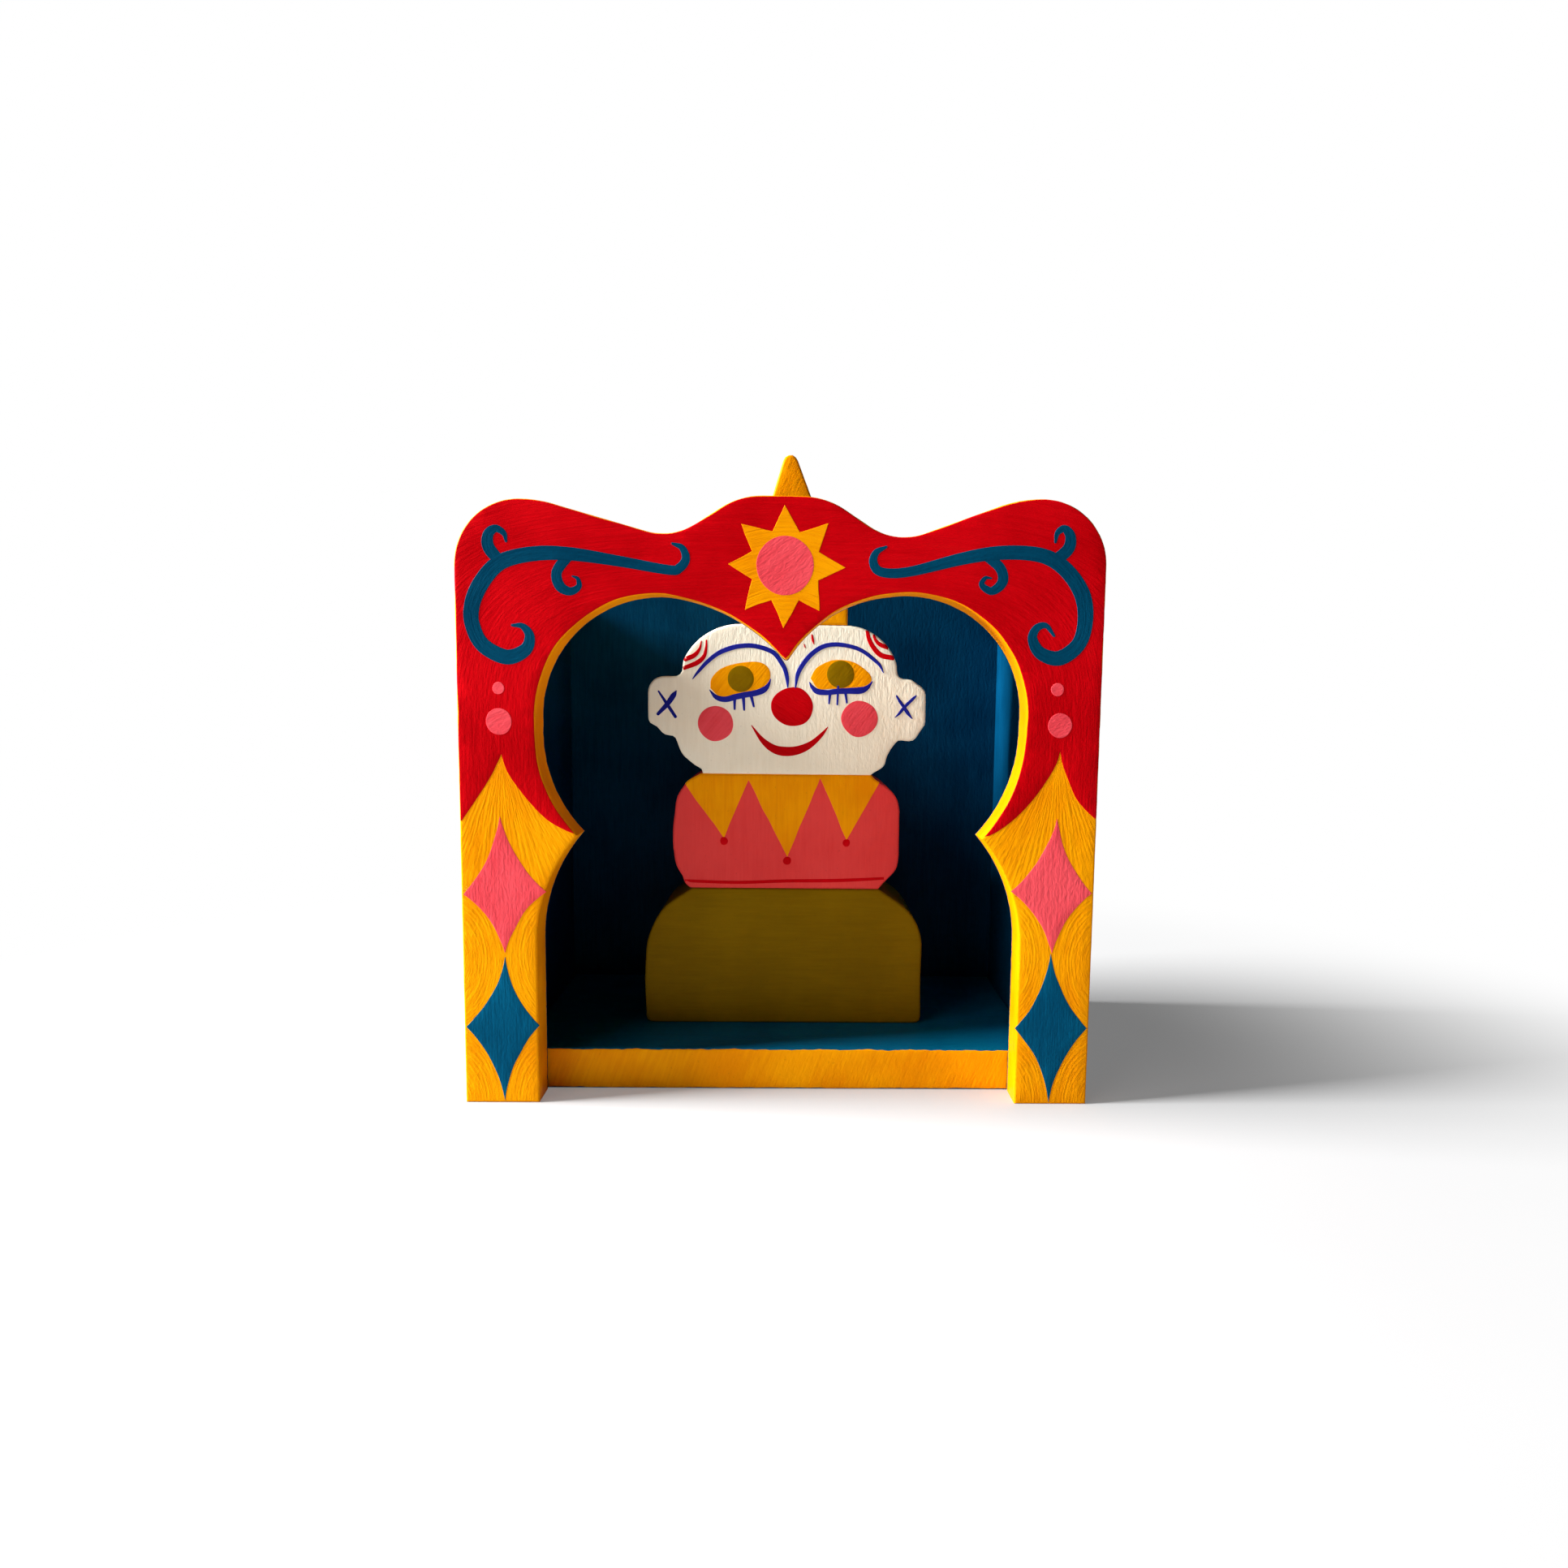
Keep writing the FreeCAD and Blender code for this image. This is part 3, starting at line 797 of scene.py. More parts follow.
def filled(ring: Sequence[Vector], grid: float, more: Sequence[Vector] = ()) -> Filling:
    """Fills a closed line with triangles on an even grid.

    Args:
        ring: The line.
        grid: The distance between points inside.
        more: Other points inside that the triangles use.

    Returns:
        All the points, the line's own first, and the triangles.
    """
    points = [Vector((p.x, p.y)) for p in ring]
    count, legs = len(points), sides(ring)
    room = grid * ROOM_SHARE
    low = Vector((min(p.x for p in points), min(p.y for p in points)))
    high = Vector((max(p.x for p in points), max(p.y for p in points)))
    rows = int((high.y - low.y) / (grid * ROW_SHARE))
    for row in range(1, rows + 1):
        y = low.y + row * grid * ROW_SHARE
        crossed = [(a, b) for a, b in legs if (a.y > y) != (b.y > y)]
        cuts = sorted(a.x + (y - a.y) / (b.y - a.y) * (b.x - a.x) for a, b in crossed)
        for left, right in zip(cuts[::2], cuts[1::2]):
            steps = int((right - left) / grid)
            spare = (right - left) - steps * grid
            inner = [left + spare * 0.5 + grid * (k + SLIP_SHARE * (row % 2)) for k in range(steps + 1)]
            points += [Vector((x, y)) for x in inner if left + room < x < right - room]
    points += more
    edges = [(k, (k + 1) % count) for k in range(count)]
    made = geometry.delaunay_2d_cdt(points, edges, [list(range(count))], 1, WELD)
    number = [sources[0] if sources else -1 for sources in made[3]]
    fresh = list(points)
    for k, source in enumerate(number):
        if source < 0:
            number[k] = len(fresh)
            fresh.append(made[0][k])
    return fresh, [[number[k] for k in triangle] for triangle in made[2]]


@dataclass
class Board:
    """One sawn board: an outline through a thickness, with eased edges and a hand-finished face."""

    name: str
    loop: Loop
    axis: Axis
    low: float
    high: float
    ease: float
    strokes: Strokes
    seed: float
    step: float = 1.2
    grid: float = 2.6
    saw: float = 0.07
    ripple: float = 0.03
    chips: float = 0.5
    pegs: str = ""

    # The steps of a rounded edge, and the angle in degrees above which an edge stays sharp.
    ROUND = 4
    SHARP = 38.0
    # The distance between rows of points through the thickness.
    ROW = 3.0
    # Waves of the saw's marks to the millimetre: along the edge, then through it.
    SAW_PACES = (0.55, 0.06)
    SOCKET_SIDES = 40

    def dressed(self, paint: Paint, body: str, *nodes: str) -> None:
        """Builds the board.

        Args:
            paint: The finish.
            body: The CAD body that it moves with.
            nodes: The CAD nodes that it stands for.
        """
        work = Work(self.name)
        base = self.loop.evened(self.step)
        along = base.walked()
        rows, depths = [], []
        for inset, depth, wear in self._profile():
            ring = base.offset(-inset)
            rows.append([self._spot(work, p, depth, wear, at, inset) for p, at in zip(ring.points, along)])
            depths.append(depth)
        for k in range(len(rows) - 1):
            work.band(rows[k], rows[k + 1], along, (depths[k], depths[k + 1]))
        self._cap(work, base.offset(-self.ease), rows[0], self.low)
        self._cap(work, base.offset(-self.ease), rows[-1], self.high)
        piece = work.finish(paint, body, *nodes, sharp=self.SHARP)
        if self.pegs:
            self._drill(piece)

    def _drill(self, piece: bpy.types.Object, play: float = 0.08, spare: float = 1.0) -> None:
        """Drills the underside for the dowels that the board stands on.

        Args:
            piece: The board.
            play: How much wider than its dowel a socket is, on each side.
            spare: How much deeper it is.
        """
        low, high = (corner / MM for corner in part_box(self.pegs))
        radius = (high.y - low.y) / 2
        wide = (radius + play) * MM
        deep = (high.z - low.z + 2 * spare) * MM
        bits = bmesh.new()
        for x in (low.x + radius, high.x - radius):
            middle = Matrix.Translation(Vector((x, (low.y + high.y) / 2, (low.z + high.z) / 2)) * MM)
            bmesh.ops.create_cone(bits, cap_ends=True, segments=self.SOCKET_SIDES, radius1=wide, radius2=wide,
                                  depth=deep, matrix=middle)
        mesh = bpy.data.meshes.new("bits")
        bits.to_mesh(mesh)
        bits.free()
        tool = bpy.data.objects.new("bits", mesh)
        bpy.context.scene.collection.objects.link(tool)
        cut = piece.modifiers.new("sockets", "BOOLEAN")
        cut.operation, cut.solver, cut.object = "DIFFERENCE", "EXACT", tool
        drilled = bpy.data.meshes.new_from_object(piece.evaluated_get(bpy.context.evaluated_depsgraph_get()))
        drilled.set_sharp_from_angle(angle=math.radians(self.SHARP))
        piece.modifiers.clear()
        piece.data = drilled
        bpy.data.objects.remove(tool)

    def _profile(self) -> list[tuple[float, float, float]]:
        """The rows of points, from the front round to the back.

        Returns:
            The inset, depth and wear of each row.
        """
        turns = [math.pi / 2 * k / self.ROUND for k in range(self.ROUND + 1)]
        nose = [(self.ease * (1 - math.sin(t)), self.ease * (1 - math.cos(t)), math.sin(2 * t) * self.chips)
                for t in turns]
        straight = self.high - self.low - 2 * self.ease
        count = max(1, round(straight / self.ROW))
        front = [(inset, self.low + depth, wear) for inset, depth, wear in nose]
        middle = [(0.0, self.low + self.ease + straight / count * k, 0.0) for k in range(1, count)]
        back = [(inset, self.high - depth, wear) for inset, depth, wear in nose[::-1]]
        return front + middle + back

    def _spot(self, work: Work, p: Vector, depth: float, wear: float, along: float, inset: float) -> int:
        """Adds a point of the edge, moved a little by the saw and the sanding.

        Args:
            work: The piece that takes the point.
            p: Its place on the face.
            depth: Its place through the thickness.
            wear: How worn the paint is there.
            along: How far along the edge it is.
            inset: How far inside the outline it is.

        Returns:
            The point's number.
        """
        at = Vector((along * self.SAW_PACES[0], depth * self.SAW_PACES[1], self.seed))
        drawn = p + (p - self._heart()).normalized() * (self.saw * noise.noise(at))
        fall = self.ripple * uneven(p.x, p.y, self.seed) * min(1.0, inset / self.ease)
        inward = math.copysign(fall, depth - (self.low + self.high) / 2)
        return work.point(self.axis.place(drawn.x, drawn.y, depth - inward), wear)

    def _heart(self) -> Vector:
        """The middle of the outline."""
        points = self.loop.points
        return sum(points, Vector((0.0, 0.0))) / len(points)

    def _cap(self, work: Work, ring: Loop, row: list[int], depth: float) -> None:
        """Fills one face of the board.

        Args:
            work: The piece that takes the faces.
            ring: The face's outline.
            row: The numbers of the outline's points.
            depth: Where the face lies.
        """
        outward = math.copysign(self.ripple, depth - (self.low + self.high) / 2)

        def lift(p: Vector) -> int:
            """Adds a point of the face, with its unevenness."""
            return work.point(self.axis.place(p.x, p.y, depth + outward * uneven(p.x, p.y, self.seed)))
        work.cap(ring, row, self.grid, self.strokes, lift)


@dataclass
class Coat:
    """Paint laid on the front of a board as a thin film with a rounded rim."""

    work: Work
    face: float
    thick: float = 0.08
    rim: float = 0.12
    sunk: float = 0.2
    edge: Loop | None = None
    ease: float = 0.0
    dip: float = 1.0

    # A film's rim: how far inside the outline and how high, as shares of the rim and of the thickness.
    RIM = ((0.0, 0.35), (0.4, 0.85), (1.0, 1.0))
    # How much of the brush map each row of the rim takes up, in millimetres.
    RIM_STROKE = 0.1
    # Where a film bends over an eased edge, and the step along it, as shares of the ease.
    BENDS = (0.3, 0.6, 1.05)
    BEND_STEP = 0.6
    # The room between those bends and the rim, in millimetres.
    BEND_ROOM = 0.1
    # How high a stroke's side and its middle are, as shares of the thickness.
    SIDE = 0.4
    CROWN = 1.12
    # The least half width of a stroke, and how many steps its rounded end has.
    LEAST = 0.06
    TIP = 4
    # A point off the board is drawn back by this share at a time, until it is this near to the middle.
    DRAWN_BACK = 0.7
    NEAR = 0.02

    def _at(self, p: Vector, height: float) -> int:
        """Adds a point at a height above the face, or above its eased edge."""
        return self.work.point(Axis.DEEP.place(p.x, p.y, self.face + self._fall(p) - height))

    def _fall(self, p: Vector) -> float:
        """How far the eased edge lies behind the face.

        Args:
            p: A point of the face.

        Returns:
            The distance at that point.
        """
        if self.edge is None:
            return 0.0
        short = max(0.0, self.ease - self.edge.distance(p))
        return min(self.ease - math.sqrt(max(0.0, self.ease**2 - short**2)), self.ease * self.dip)

    def _bends(self, ring: Loop) -> list[Vector]:
        """Finds where the film bends over the eased edge.

        Args:
            ring: The outline of the film's top.

        Returns:
            Points inside the outline.
        """
        if self.edge is None:
            return []
        near = self.edge.evened(self.ease * self.BEND_STEP)
        rows = [near.offset(-self.ease * part) for part in self.BENDS]
        points = [p for row in rows for p in row.points]
        return [p for p in points if ring.distance(p) > self.BEND_ROOM and ring.holds(p)]

    def patch(self, loop: Loop, strokes: Strokes, step: float, grid: float) -> None:
        """Adds a filled shape.

        Args:
            loop: Its outline.
            strokes: The way of the brush.
            step: The distance between points of the outline.
            grid: The distance between points inside.
        """
        outer = loop.evened(step)
        walked = [k * step for k in range(len(outer.points) + 1)]
        rings = [(outer, -self.sunk)]
        rings += [(outer.offset(-self.rim * inset), self.thick * share) for inset, share in self.RIM]
        rows = [[self._at(p, height) for p in ring.points] for ring, height in rings]
        for k in range(len(self.RIM)):
            depths = (k * self.RIM_STROKE, (k + 1) * self.RIM_STROKE)
            self.work.band(rows[k], rows[k + 1], walked, depths)
        top = rings[-1][0]
        self.work.cap(outer, rows[0], grid, strokes, lambda p: self._at(p, -self.sunk))
        self.work.cap(top, rows[-1], grid, strokes, lambda p: self._at(p, self.thick), self._bends(top))

    def line(self, spots: Line) -> None:
        """Adds one stroke of a brush.

        Args:
            spots: Points along it, each with the half width there.
        """
        path = smooth_line(spots)
        path = self._tip(path[0], path[1])[::-1] + path + self._tip(path[-1], path[-2])
        if self.edge is not None:
            path = [spot for spot in path if self.edge.holds(spot)]
        rows, walked, across, total = [], [], [], 0.0
        for k, spot in enumerate(path):
            before, after = path[max(k - 1, 0)], path[min(k + 1, len(path) - 1)]
            way = Vector((after.x - before.x, after.y - before.y)).normalized()
            side = Vector((-way.y, way.x))
            section = self._section(max(spot.z, self.LEAST))
            rows.append([self._at(self._held(spot.xy, side * out), height) for out, height in section])
            across.append([out for out, _ in section])
            total += (spot.xy - before.xy).length
            walked.append(total)
        self.work.swept(rows, walked, across)

    def _section(self, half: float) -> list[Point]:
        """The cut through a stroke.

        Args:
            half: Half its width.

        Returns:
            How far out from the middle, and how high, each point is.
        """
        rim = min(self.rim, half / 2)
        left = [(half, -self.sunk), (half, self.thick * self.SIDE), (half - rim, self.thick)]
        right = [(-out, height) for out, height in left[::-1]]
        return [*left, (0.0, self.thick * self.CROWN), *right]

    def _tip(self, end: Vector, before: Vector) -> list[Vector]:
        """Rounds the end of a stroke.

        Args:
            end: The last point, with the half width there.
            before: The point before it.

        Returns:
            The points of the rounded end, outwards from the last point.
        """
        way = Vector((end.x - before.x, end.y - before.y, 0.0)).normalized() * end.z
        turns = [math.pi / 2 * k / self.TIP for k in range(1, self.TIP)]
        return [Vector((*(end + way * math.sin(t)).xy, end.z * math.cos(t))) for t in turns]

    def _held(self, middle: Vector, out: Vector) -> Vector:
        """Draws a point beside the middle of a stroke back until it lies on the board.

        Args:
            middle: The middle of the stroke.
            out: The way from there to the point.

        Returns:
            Where the point comes to lie.
        """
        while self.edge is not None and out.length > self.NEAR and not self.edge.holds(middle + out):
            out = out * self.DRAWN_BACK
        return middle + out


def bowed(start: Point, end: Point, sag: float, parts: int = 10) -> list[Point]:
    """A line that is bowed to the left of its way.

    Args:
        start: Where it starts.
        end: Where it ends, which isn't one of its points.
        sag: How far it is bowed in the middle.
        parts: How many points it has.

    Returns:
        The points.
    """
    a, b = Vector(start), Vector(end)
    left = Vector((a.y - b.y, b.x - a.x)).normalized()
    shares = [k / parts for k in range(parts)]
    return [tuple(a.lerp(b, t) + left * (4.0 * sag * t * (1.0 - t))) for t in shares]


@dataclass
class StageFront:
    """The sawn front with its cusped arch, and the ornament painted on it."""

    ease: float = 0.55
    margin: float = 0.2
    step: float = 1.2
    # The red's strokes: the height that they turn about, how far they are drawn up, and their pace.
    sweep_foot: float = 96.0
    sweep_tall: float = 1.5
    sweep_turn: float = 70.0
    # The legs' strokes: a fan from its apex down to its foot, then petals, and the pace of each.
    fan_apex: Point = (78.3, 103.0)
    fan_foot: float = 62.0
    fan_turn: float = 22.0
    petal_squat: float = 0.6
    petal_slim: float = 1.5
    petal_turn: float = 18.0
    # The star with its disc, then the scrolls, the dots, the diamonds and the lining.
    star_centre: Point = (0.8, 153.4)
    star_nook: float = 10.0
    star_swing: float = 30.0
    disc: float = 7.9
    disc_tall: float = 1.02
    disc_off: float = 0.1
    scroll_thick: float = 0.16
    scroll_drop: float = 0.02
    dot_tall: float = 1.04
    sag: float = 1.9
    lining_inset: float = 1.0
    lining_step: float = 1.6

    # Outlines, in X and Z.
    STAR_TIPS = ((16.5, -0.2), (11.7, 11.6), (-0.3, 16.4), (-12.3, 11.1), (-15.8, 0.2), (-11.1, -12.1),
                 (-0.4, -17.0), (9.6, -12.3))
    ARCH_FEET = ((-57.0, 79.5), (57.0, 79.5))
    OGEE_LEFT = ((-89.3, 82.0), (-85.7, 87.2), (-81.5, 93.6), (-79.4, 97.7), (-78.0, 100.6))
    OGEE_LEFT_IN = ((-78.0, 100.6), (-77.1, 97.3), (-75.3, 93.7), (-70.5, 87.3), (-65.5, 82.2),
                    (-60.4, 79.3), (-58.0, 78.4))
    OGEE_RIGHT_IN = ((58.2, 78.4), (61.8, 80.2), (66.9, 84.2), (71.9, 89.8), (75.6, 95.3), (78.0, 99.9),
                     (78.8, 103.2))
    OGEE_RIGHT = ((78.8, 103.2), (79.6, 99.5), (81.3, 95.3), (83.6, 90.2), (86.6, 86.6), (89.3, 84.2))
    PINK_LEFT = ((-78.9, 83.2), (-89.5, 60.8), (-78.0, 44.0), (-66.2, 61.8))
    TEAL_LEFT = ((-78.1, 42.9), (-89.5, 22.3), (-78.9, 0.6), (-68.6, 22.9))
    PINK_RIGHT = ((78.6, 84.0), (66.2, 62.9), (78.5, 44.9), (89.5, 62.5))
    TEAL_RIGHT = ((78.2, 44.9), (68.5, 22.6), (79.1, 0.6), (89.5, 22.8))
    PETALS = ((94.0, 42.0), (63.0, 43.0), (94.0, 0.0), (64.0, 0.0))
    # Brush strokes, each point with its half width, and dots with their radius.
    STEM_LEFT = ((-30.2, 158.9, 0.4), (-27.6, 157.8, 0.9), (-26.6, 154.9, 1.2), (-28.3, 152.4, 1.3),
                 (-31.3, 151.8, 1.35), (-44.5, 153.9, 1.5), (-56.9, 155.6, 1.8), (-66.2, 155.8, 2.0),
                 (-74.3, 154.4, 2.1), (-79.0, 151.9, 2.2), (-83.0, 146.9, 2.3), (-85.2, 141.6, 2.2),
                 (-85.3, 136.4, 2.1), (-82.5, 130.7, 2.1), (-76.1, 127.5, 2.1), (-70.9, 129.5, 1.8),
                 (-69.6, 133.2, 1.4), (-71.4, 135.9, 0.9), (-74.3, 136.2, 0.4))
    CURL_LEFT = ((-77.2, 153.2, 1.6), (-80.4, 157.2, 1.7), (-80.4, 160.6, 1.5), (-78.4, 162.2, 1.1),
                 (-76.2, 161.0, 0.8), (-75.6, 158.9, 0.4))
    TENDRIL_LEFT = ((-58.6, 155.4, 1.5), (-61.9, 150.9, 1.5), (-61.2, 147.1, 1.5), (-58.4, 145.6, 1.2),
                    (-56.0, 146.9, 0.9), (-56.2, 149.0, 0.6), (-57.6, 149.7, 0.3))
    STEM_RIGHT = ((28.5, 158.9, 0.4), (25.9, 157.5, 0.9), (25.0, 155.0, 1.2), (26.4, 152.5, 1.3),
                  (30.5, 151.8, 1.35), (36.9, 152.7, 1.4), (49.4, 156.0, 1.7), (58.8, 157.7, 1.9),
                  (68.3, 157.8, 2.0), (74.7, 156.2, 2.1), (80.0, 152.0, 2.2), (83.7, 146.0, 2.3),
                  (84.5, 139.1, 2.2), (82.8, 133.0, 2.1), (77.6, 129.2, 2.1), (72.3, 130.5, 1.8),
                  (69.9, 134.4, 1.4), (71.0, 137.4, 1.1), (73.6, 138.1, 0.8), (75.9, 135.4, 0.4))
    CURL_RIGHT = ((75.0, 155.6, 1.6), (79.0, 159.1, 1.7), (79.5, 162.6, 1.5), (77.8, 164.6, 1.1),
                  (75.9, 163.5, 0.8), (75.4, 161.0, 0.4))
    TENDRIL_RIGHT = ((56.0, 157.3, 1.5), (60.3, 153.6, 1.5), (61.0, 149.9, 1.5), (58.1, 147.4, 1.2),
                     (55.3, 149.0, 0.9), (56.2, 150.9, 0.6), (57.8, 150.9, 0.3))
    DOTS = ((-78.5, 118.9, 1.6), (-78.5, 109.7, 3.6), (77.4, 120.4, 1.8), (78.5, 110.4, 3.4))

    def build(self) -> None:
        """Builds the front, then each ornament on it."""
        low, high = (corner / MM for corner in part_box("front_panel"))
        self.face = low.y
        self.outline = Loop.of_front("front_panel")
        board = Board("painted_front", self.outline, Axis.DEEP, low.y, high.y, self.ease, self.petals, 3.0)
        board.dressed(YELLOW, "box", "front_panel")
        self.red_field()
        self.star()
        self.scroll("left_scroll", self.STEM_LEFT, self.CURL_LEFT, self.TENDRIL_LEFT)
        self.scroll("right_scroll", self.STEM_RIGHT, self.CURL_RIGHT, self.TENDRIL_RIGHT)
        self.dots()
        self.diamonds("pink_diamonds", PINK, (self.PINK_LEFT, self.PINK_RIGHT))
        self.diamonds("teal_diamonds", TEAL, (self.TEAL_LEFT, self.TEAL_RIGHT))
        self.back_field(high.y)
        LiningLip(self.outline, high.y, self.ease).build()

    def petals(self, first: float, second: float) -> Point:
        """Strokes on the legs: a fan under each ogee, then round each petal, as the brush went.

        Args:
            first: The place across the front.
            second: The height.

        Returns:
            How far along the stroke and across it the place is.
        """
        x = abs(first)
        if second > self.fan_foot:
            away = Vector((x - self.fan_apex[0], self.fan_apex[1] - second))
            return (away.length, math.atan2(away.x, away.y) * self.fan_turn)
        middle = min(self.PETALS, key=lambda c: math.hypot(x - c[0], (second - c[1]) * self.petal_squat))
        away = Vector((abs(x - middle[0]) * self.petal_slim, second - middle[1]))
        return (math.atan2(away.y, away.x) * self.petal_turn, away.length / self.petal_slim)

    def red_field(self) -> None:
        """The red that covers the arch's head and stops in an ogee on each leg."""
        line = self.outline.evened(self.step)
        edge = line.offset(-self.margin).wobbled(amount=0.26, wave=9.0, seed=5.0)
        lefts = smooth_line(self.OGEE_LEFT, 4) + smooth_line(self.OGEE_LEFT_IN, 4)
        rights = smooth_line(self.OGEE_RIGHT_IN, 4) + smooth_line(self.OGEE_RIGHT, 4)
        outer = edge.stretch(rights[-1], lefts[0])
        arch = edge.stretch(*self.ARCH_FEET)
        field = Loop(spaced(outer + lefts + arch + rights))
        work = Work("red_field")
        Coat(work, self.face, edge=line, ease=self.ease).patch(field, self.sweep, self.step, grid=3.0)
        work.finish(RED, "box")

    def sweep(self, first: float, second: float) -> Point:
        """Strokes that follow the arch over its head and run down each side."""
        rise = (second - self.sweep_foot) * self.sweep_tall
        return (math.atan2(first, rise) * self.sweep_turn, (first**4 + rise**4) ** 0.25)

    def star(self) -> None:
        """An eight-pointed star with a pink disc on it."""
        x, z = self.star_centre
        tips = []
        for k, (right, up) in enumerate(self.STAR_TIPS):
            turn = math.pi / len(self.STAR_TIPS) * (2 * k + 1)
            tips.append((x + right, z + up))
            tips.append((x + self.star_nook * math.cos(turn), z + self.star_nook * math.sin(turn)))
        rays = Work("star_rays")
        edge = Loop(tips).evened(0.8).wobbled(amount=0.3, wave=6.0, seed=8.0)
        Coat(rays, self.face, thick=0.14).patch(edge, ringed((x, z - self.star_swing)), step=0.8, grid=2.5)
        rays.finish(YELLOW, "box")
        disc = Work("star_disc")
        edge = Loop.round((x - self.disc_off, z + self.disc_off), self.disc, self.disc * self.disc_tall)
        edge = edge.wobbled(amount=0.25, wave=8.0, seed=2.0)
        Coat(disc, self.face, thick=0.2).patch(edge, slanted(35.0), step=0.8, grid=2.5)
        disc.finish(PINK, "box")

    def scroll(self, name: str, *lines: Line) -> None:
        """One side's scroll: a stem that hooks at both ends, with a curl and a tendril.

        Args:
            name: The piece's name.
            lines: The brush strokes, each with its half widths.
        """
        work = Work(name)
        for k, line in enumerate(lines):
            Coat(work, self.face, self.scroll_thick - self.scroll_drop * k).line(line)
        work.finish(SCROLL_TEAL, "box")

    def dots(self) -> None:
        """A large and a small dot under each scroll."""
        work = Work("scroll_dots")
        for x, z, radius in self.DOTS:
            loop = Loop.round((x, z), radius, radius * self.dot_tall, count=32)
            loop = loop.wobbled(amount=0.2, wave=4.0, seed=6.0)
            Coat(work, self.face, thick=0.15).patch(loop, slanted(20.0), step=0.6, grid=1.6)
        work.finish(PINK, "box")

    def diamonds(self, name: str, paint: Paint, corners: Sequence[Sequence[Point]]) -> None:
        """A hollow-sided diamond on each leg.

        Args:
            name: The piece's name.
            paint: Its finish.
            corners: The corners of each diamond, anticlockwise from the top.
        """
        work = Work(name)
        for spots in corners:
            ring = [p for start, end in sides(spots) for p in bowed(start, end, self.sag)]
            loop = Loop(ring).evened(0.6).wobbled(amount=0.25, wave=7.0, seed=spots[0][1])
            Coat(work, self.face).patch(loop, upright, step=0.9, grid=2.2)
        work.finish(paint, "box")

    def back_field(self, back: float) -> None:
        """The blue on the back of the front, which faces the stage.

        Args:
            back: Where the back of the board lies.
        """
        edge = self.outline.evened(self.lining_step).offset(-self.lining_inset)
        work = Work("front_lining")
        coat = Coat(work, back, thick=-0.15, rim=0.2, sunk=-0.2)
        coat.patch(edge, upright, self.lining_step, grid=4.0)
        work.finish(BLUE, "box")


@dataclass
class LiningLip:
    """The lining's ragged brush edge, which comes a little way round on to the rim of the arch."""

    outline: Loop
    back: float
    ease: float
    film: float = 0.06
    step: float = 0.5
    foot: float = 0.5
    # How far the blue comes round past the eased edge, how far its tongues go on, and how rare they are.
    reach: float = 0.35
    tongue: float = 1.3
    rare: float = 0.2
    # The depth of the film's rim, and how far its hidden side lies in from the back and from the arch.
    rim: float = 0.04
    heel: float = 0.5
    sunk: float = 0.4

    # A point that is lower than this, in millimetres, stands on the ground.
    GROUND = 0.01
    # Waves to the millimetre of the edge and of its long tongues.
    PACE = 0.45
    TONGUE_PACE = 1.3

    def build(self) -> None:
        """Sweeps the film along the rim of the arch, from one foot to the other."""
        base = self.outline.evened(self.step)
        feet = [p.x for p in base.points if p.y < self.GROUND]
        left, right = max(x for x in feet if x < 0.0), min(x for x in feet if x > 0.0)
        turns = (0.0, math.pi / 4, math.pi / 2)
        outs = [self.film * math.sin(t) - self.ease * (1 - math.sin(t)) for t in turns]
        bends = [self.film * math.cos(t) - self.ease * (1 - math.cos(t)) for t in turns]
        rings = [base.offset(out) for out in (*outs, self.film, 0.0, -self.sunk)]
        work, rows, along, across = Work("lining_lip"), [], [], []
        for count, k in enumerate(base.span((left, self.foot), (right, self.foot))):
            reach = self._reach(count * self.step)
            depths = [*bends, -reach, -reach - self.rim, -self.heel]
            spots = [(ring.points[k], self.back + depth) for ring, depth in zip(rings, depths)]
            rows.append([work.point(Axis.DEEP.place(p.x, p.y, depth)) for p, depth in spots])
            along.append(count * self.step)
            across.append(depths)
        work.swept(rows, along, across)
        work.finish(BLUE, "box", sharp=Board.SHARP)

    def _reach(self, at: float) -> float:
        """How far the blue comes round at a place along the rim.

        Args:
            at: The place.

        Returns:
            The reach from the back of the board.
        """
        waver = noise.noise(Vector((at * self.PACE, 0.0, 9.0)))
        tongue = max(0.0, noise.noise(Vector((at * self.TONGUE_PACE, 4.0, 2.0))) - self.rare)
        return self.ease + self.reach + self.reach * waver + self.tongue * tongue


def spaced(points: Sequence[Vector], least: float = 0.3) -> list[Vector]:
    """Takes out the points of a closed line that lie almost on the one before.

    Args:
        points: The line.
        least: How far apart the points that stay are at least.

    Returns:
        The points that stay.
    """
    kept = [points[0]]
    for p in points[1:]:
        if (p - kept[-1]).length > least:
            kept.append(p)
    return kept[:-1] if (kept[-1] - kept[0]).length < least else kept


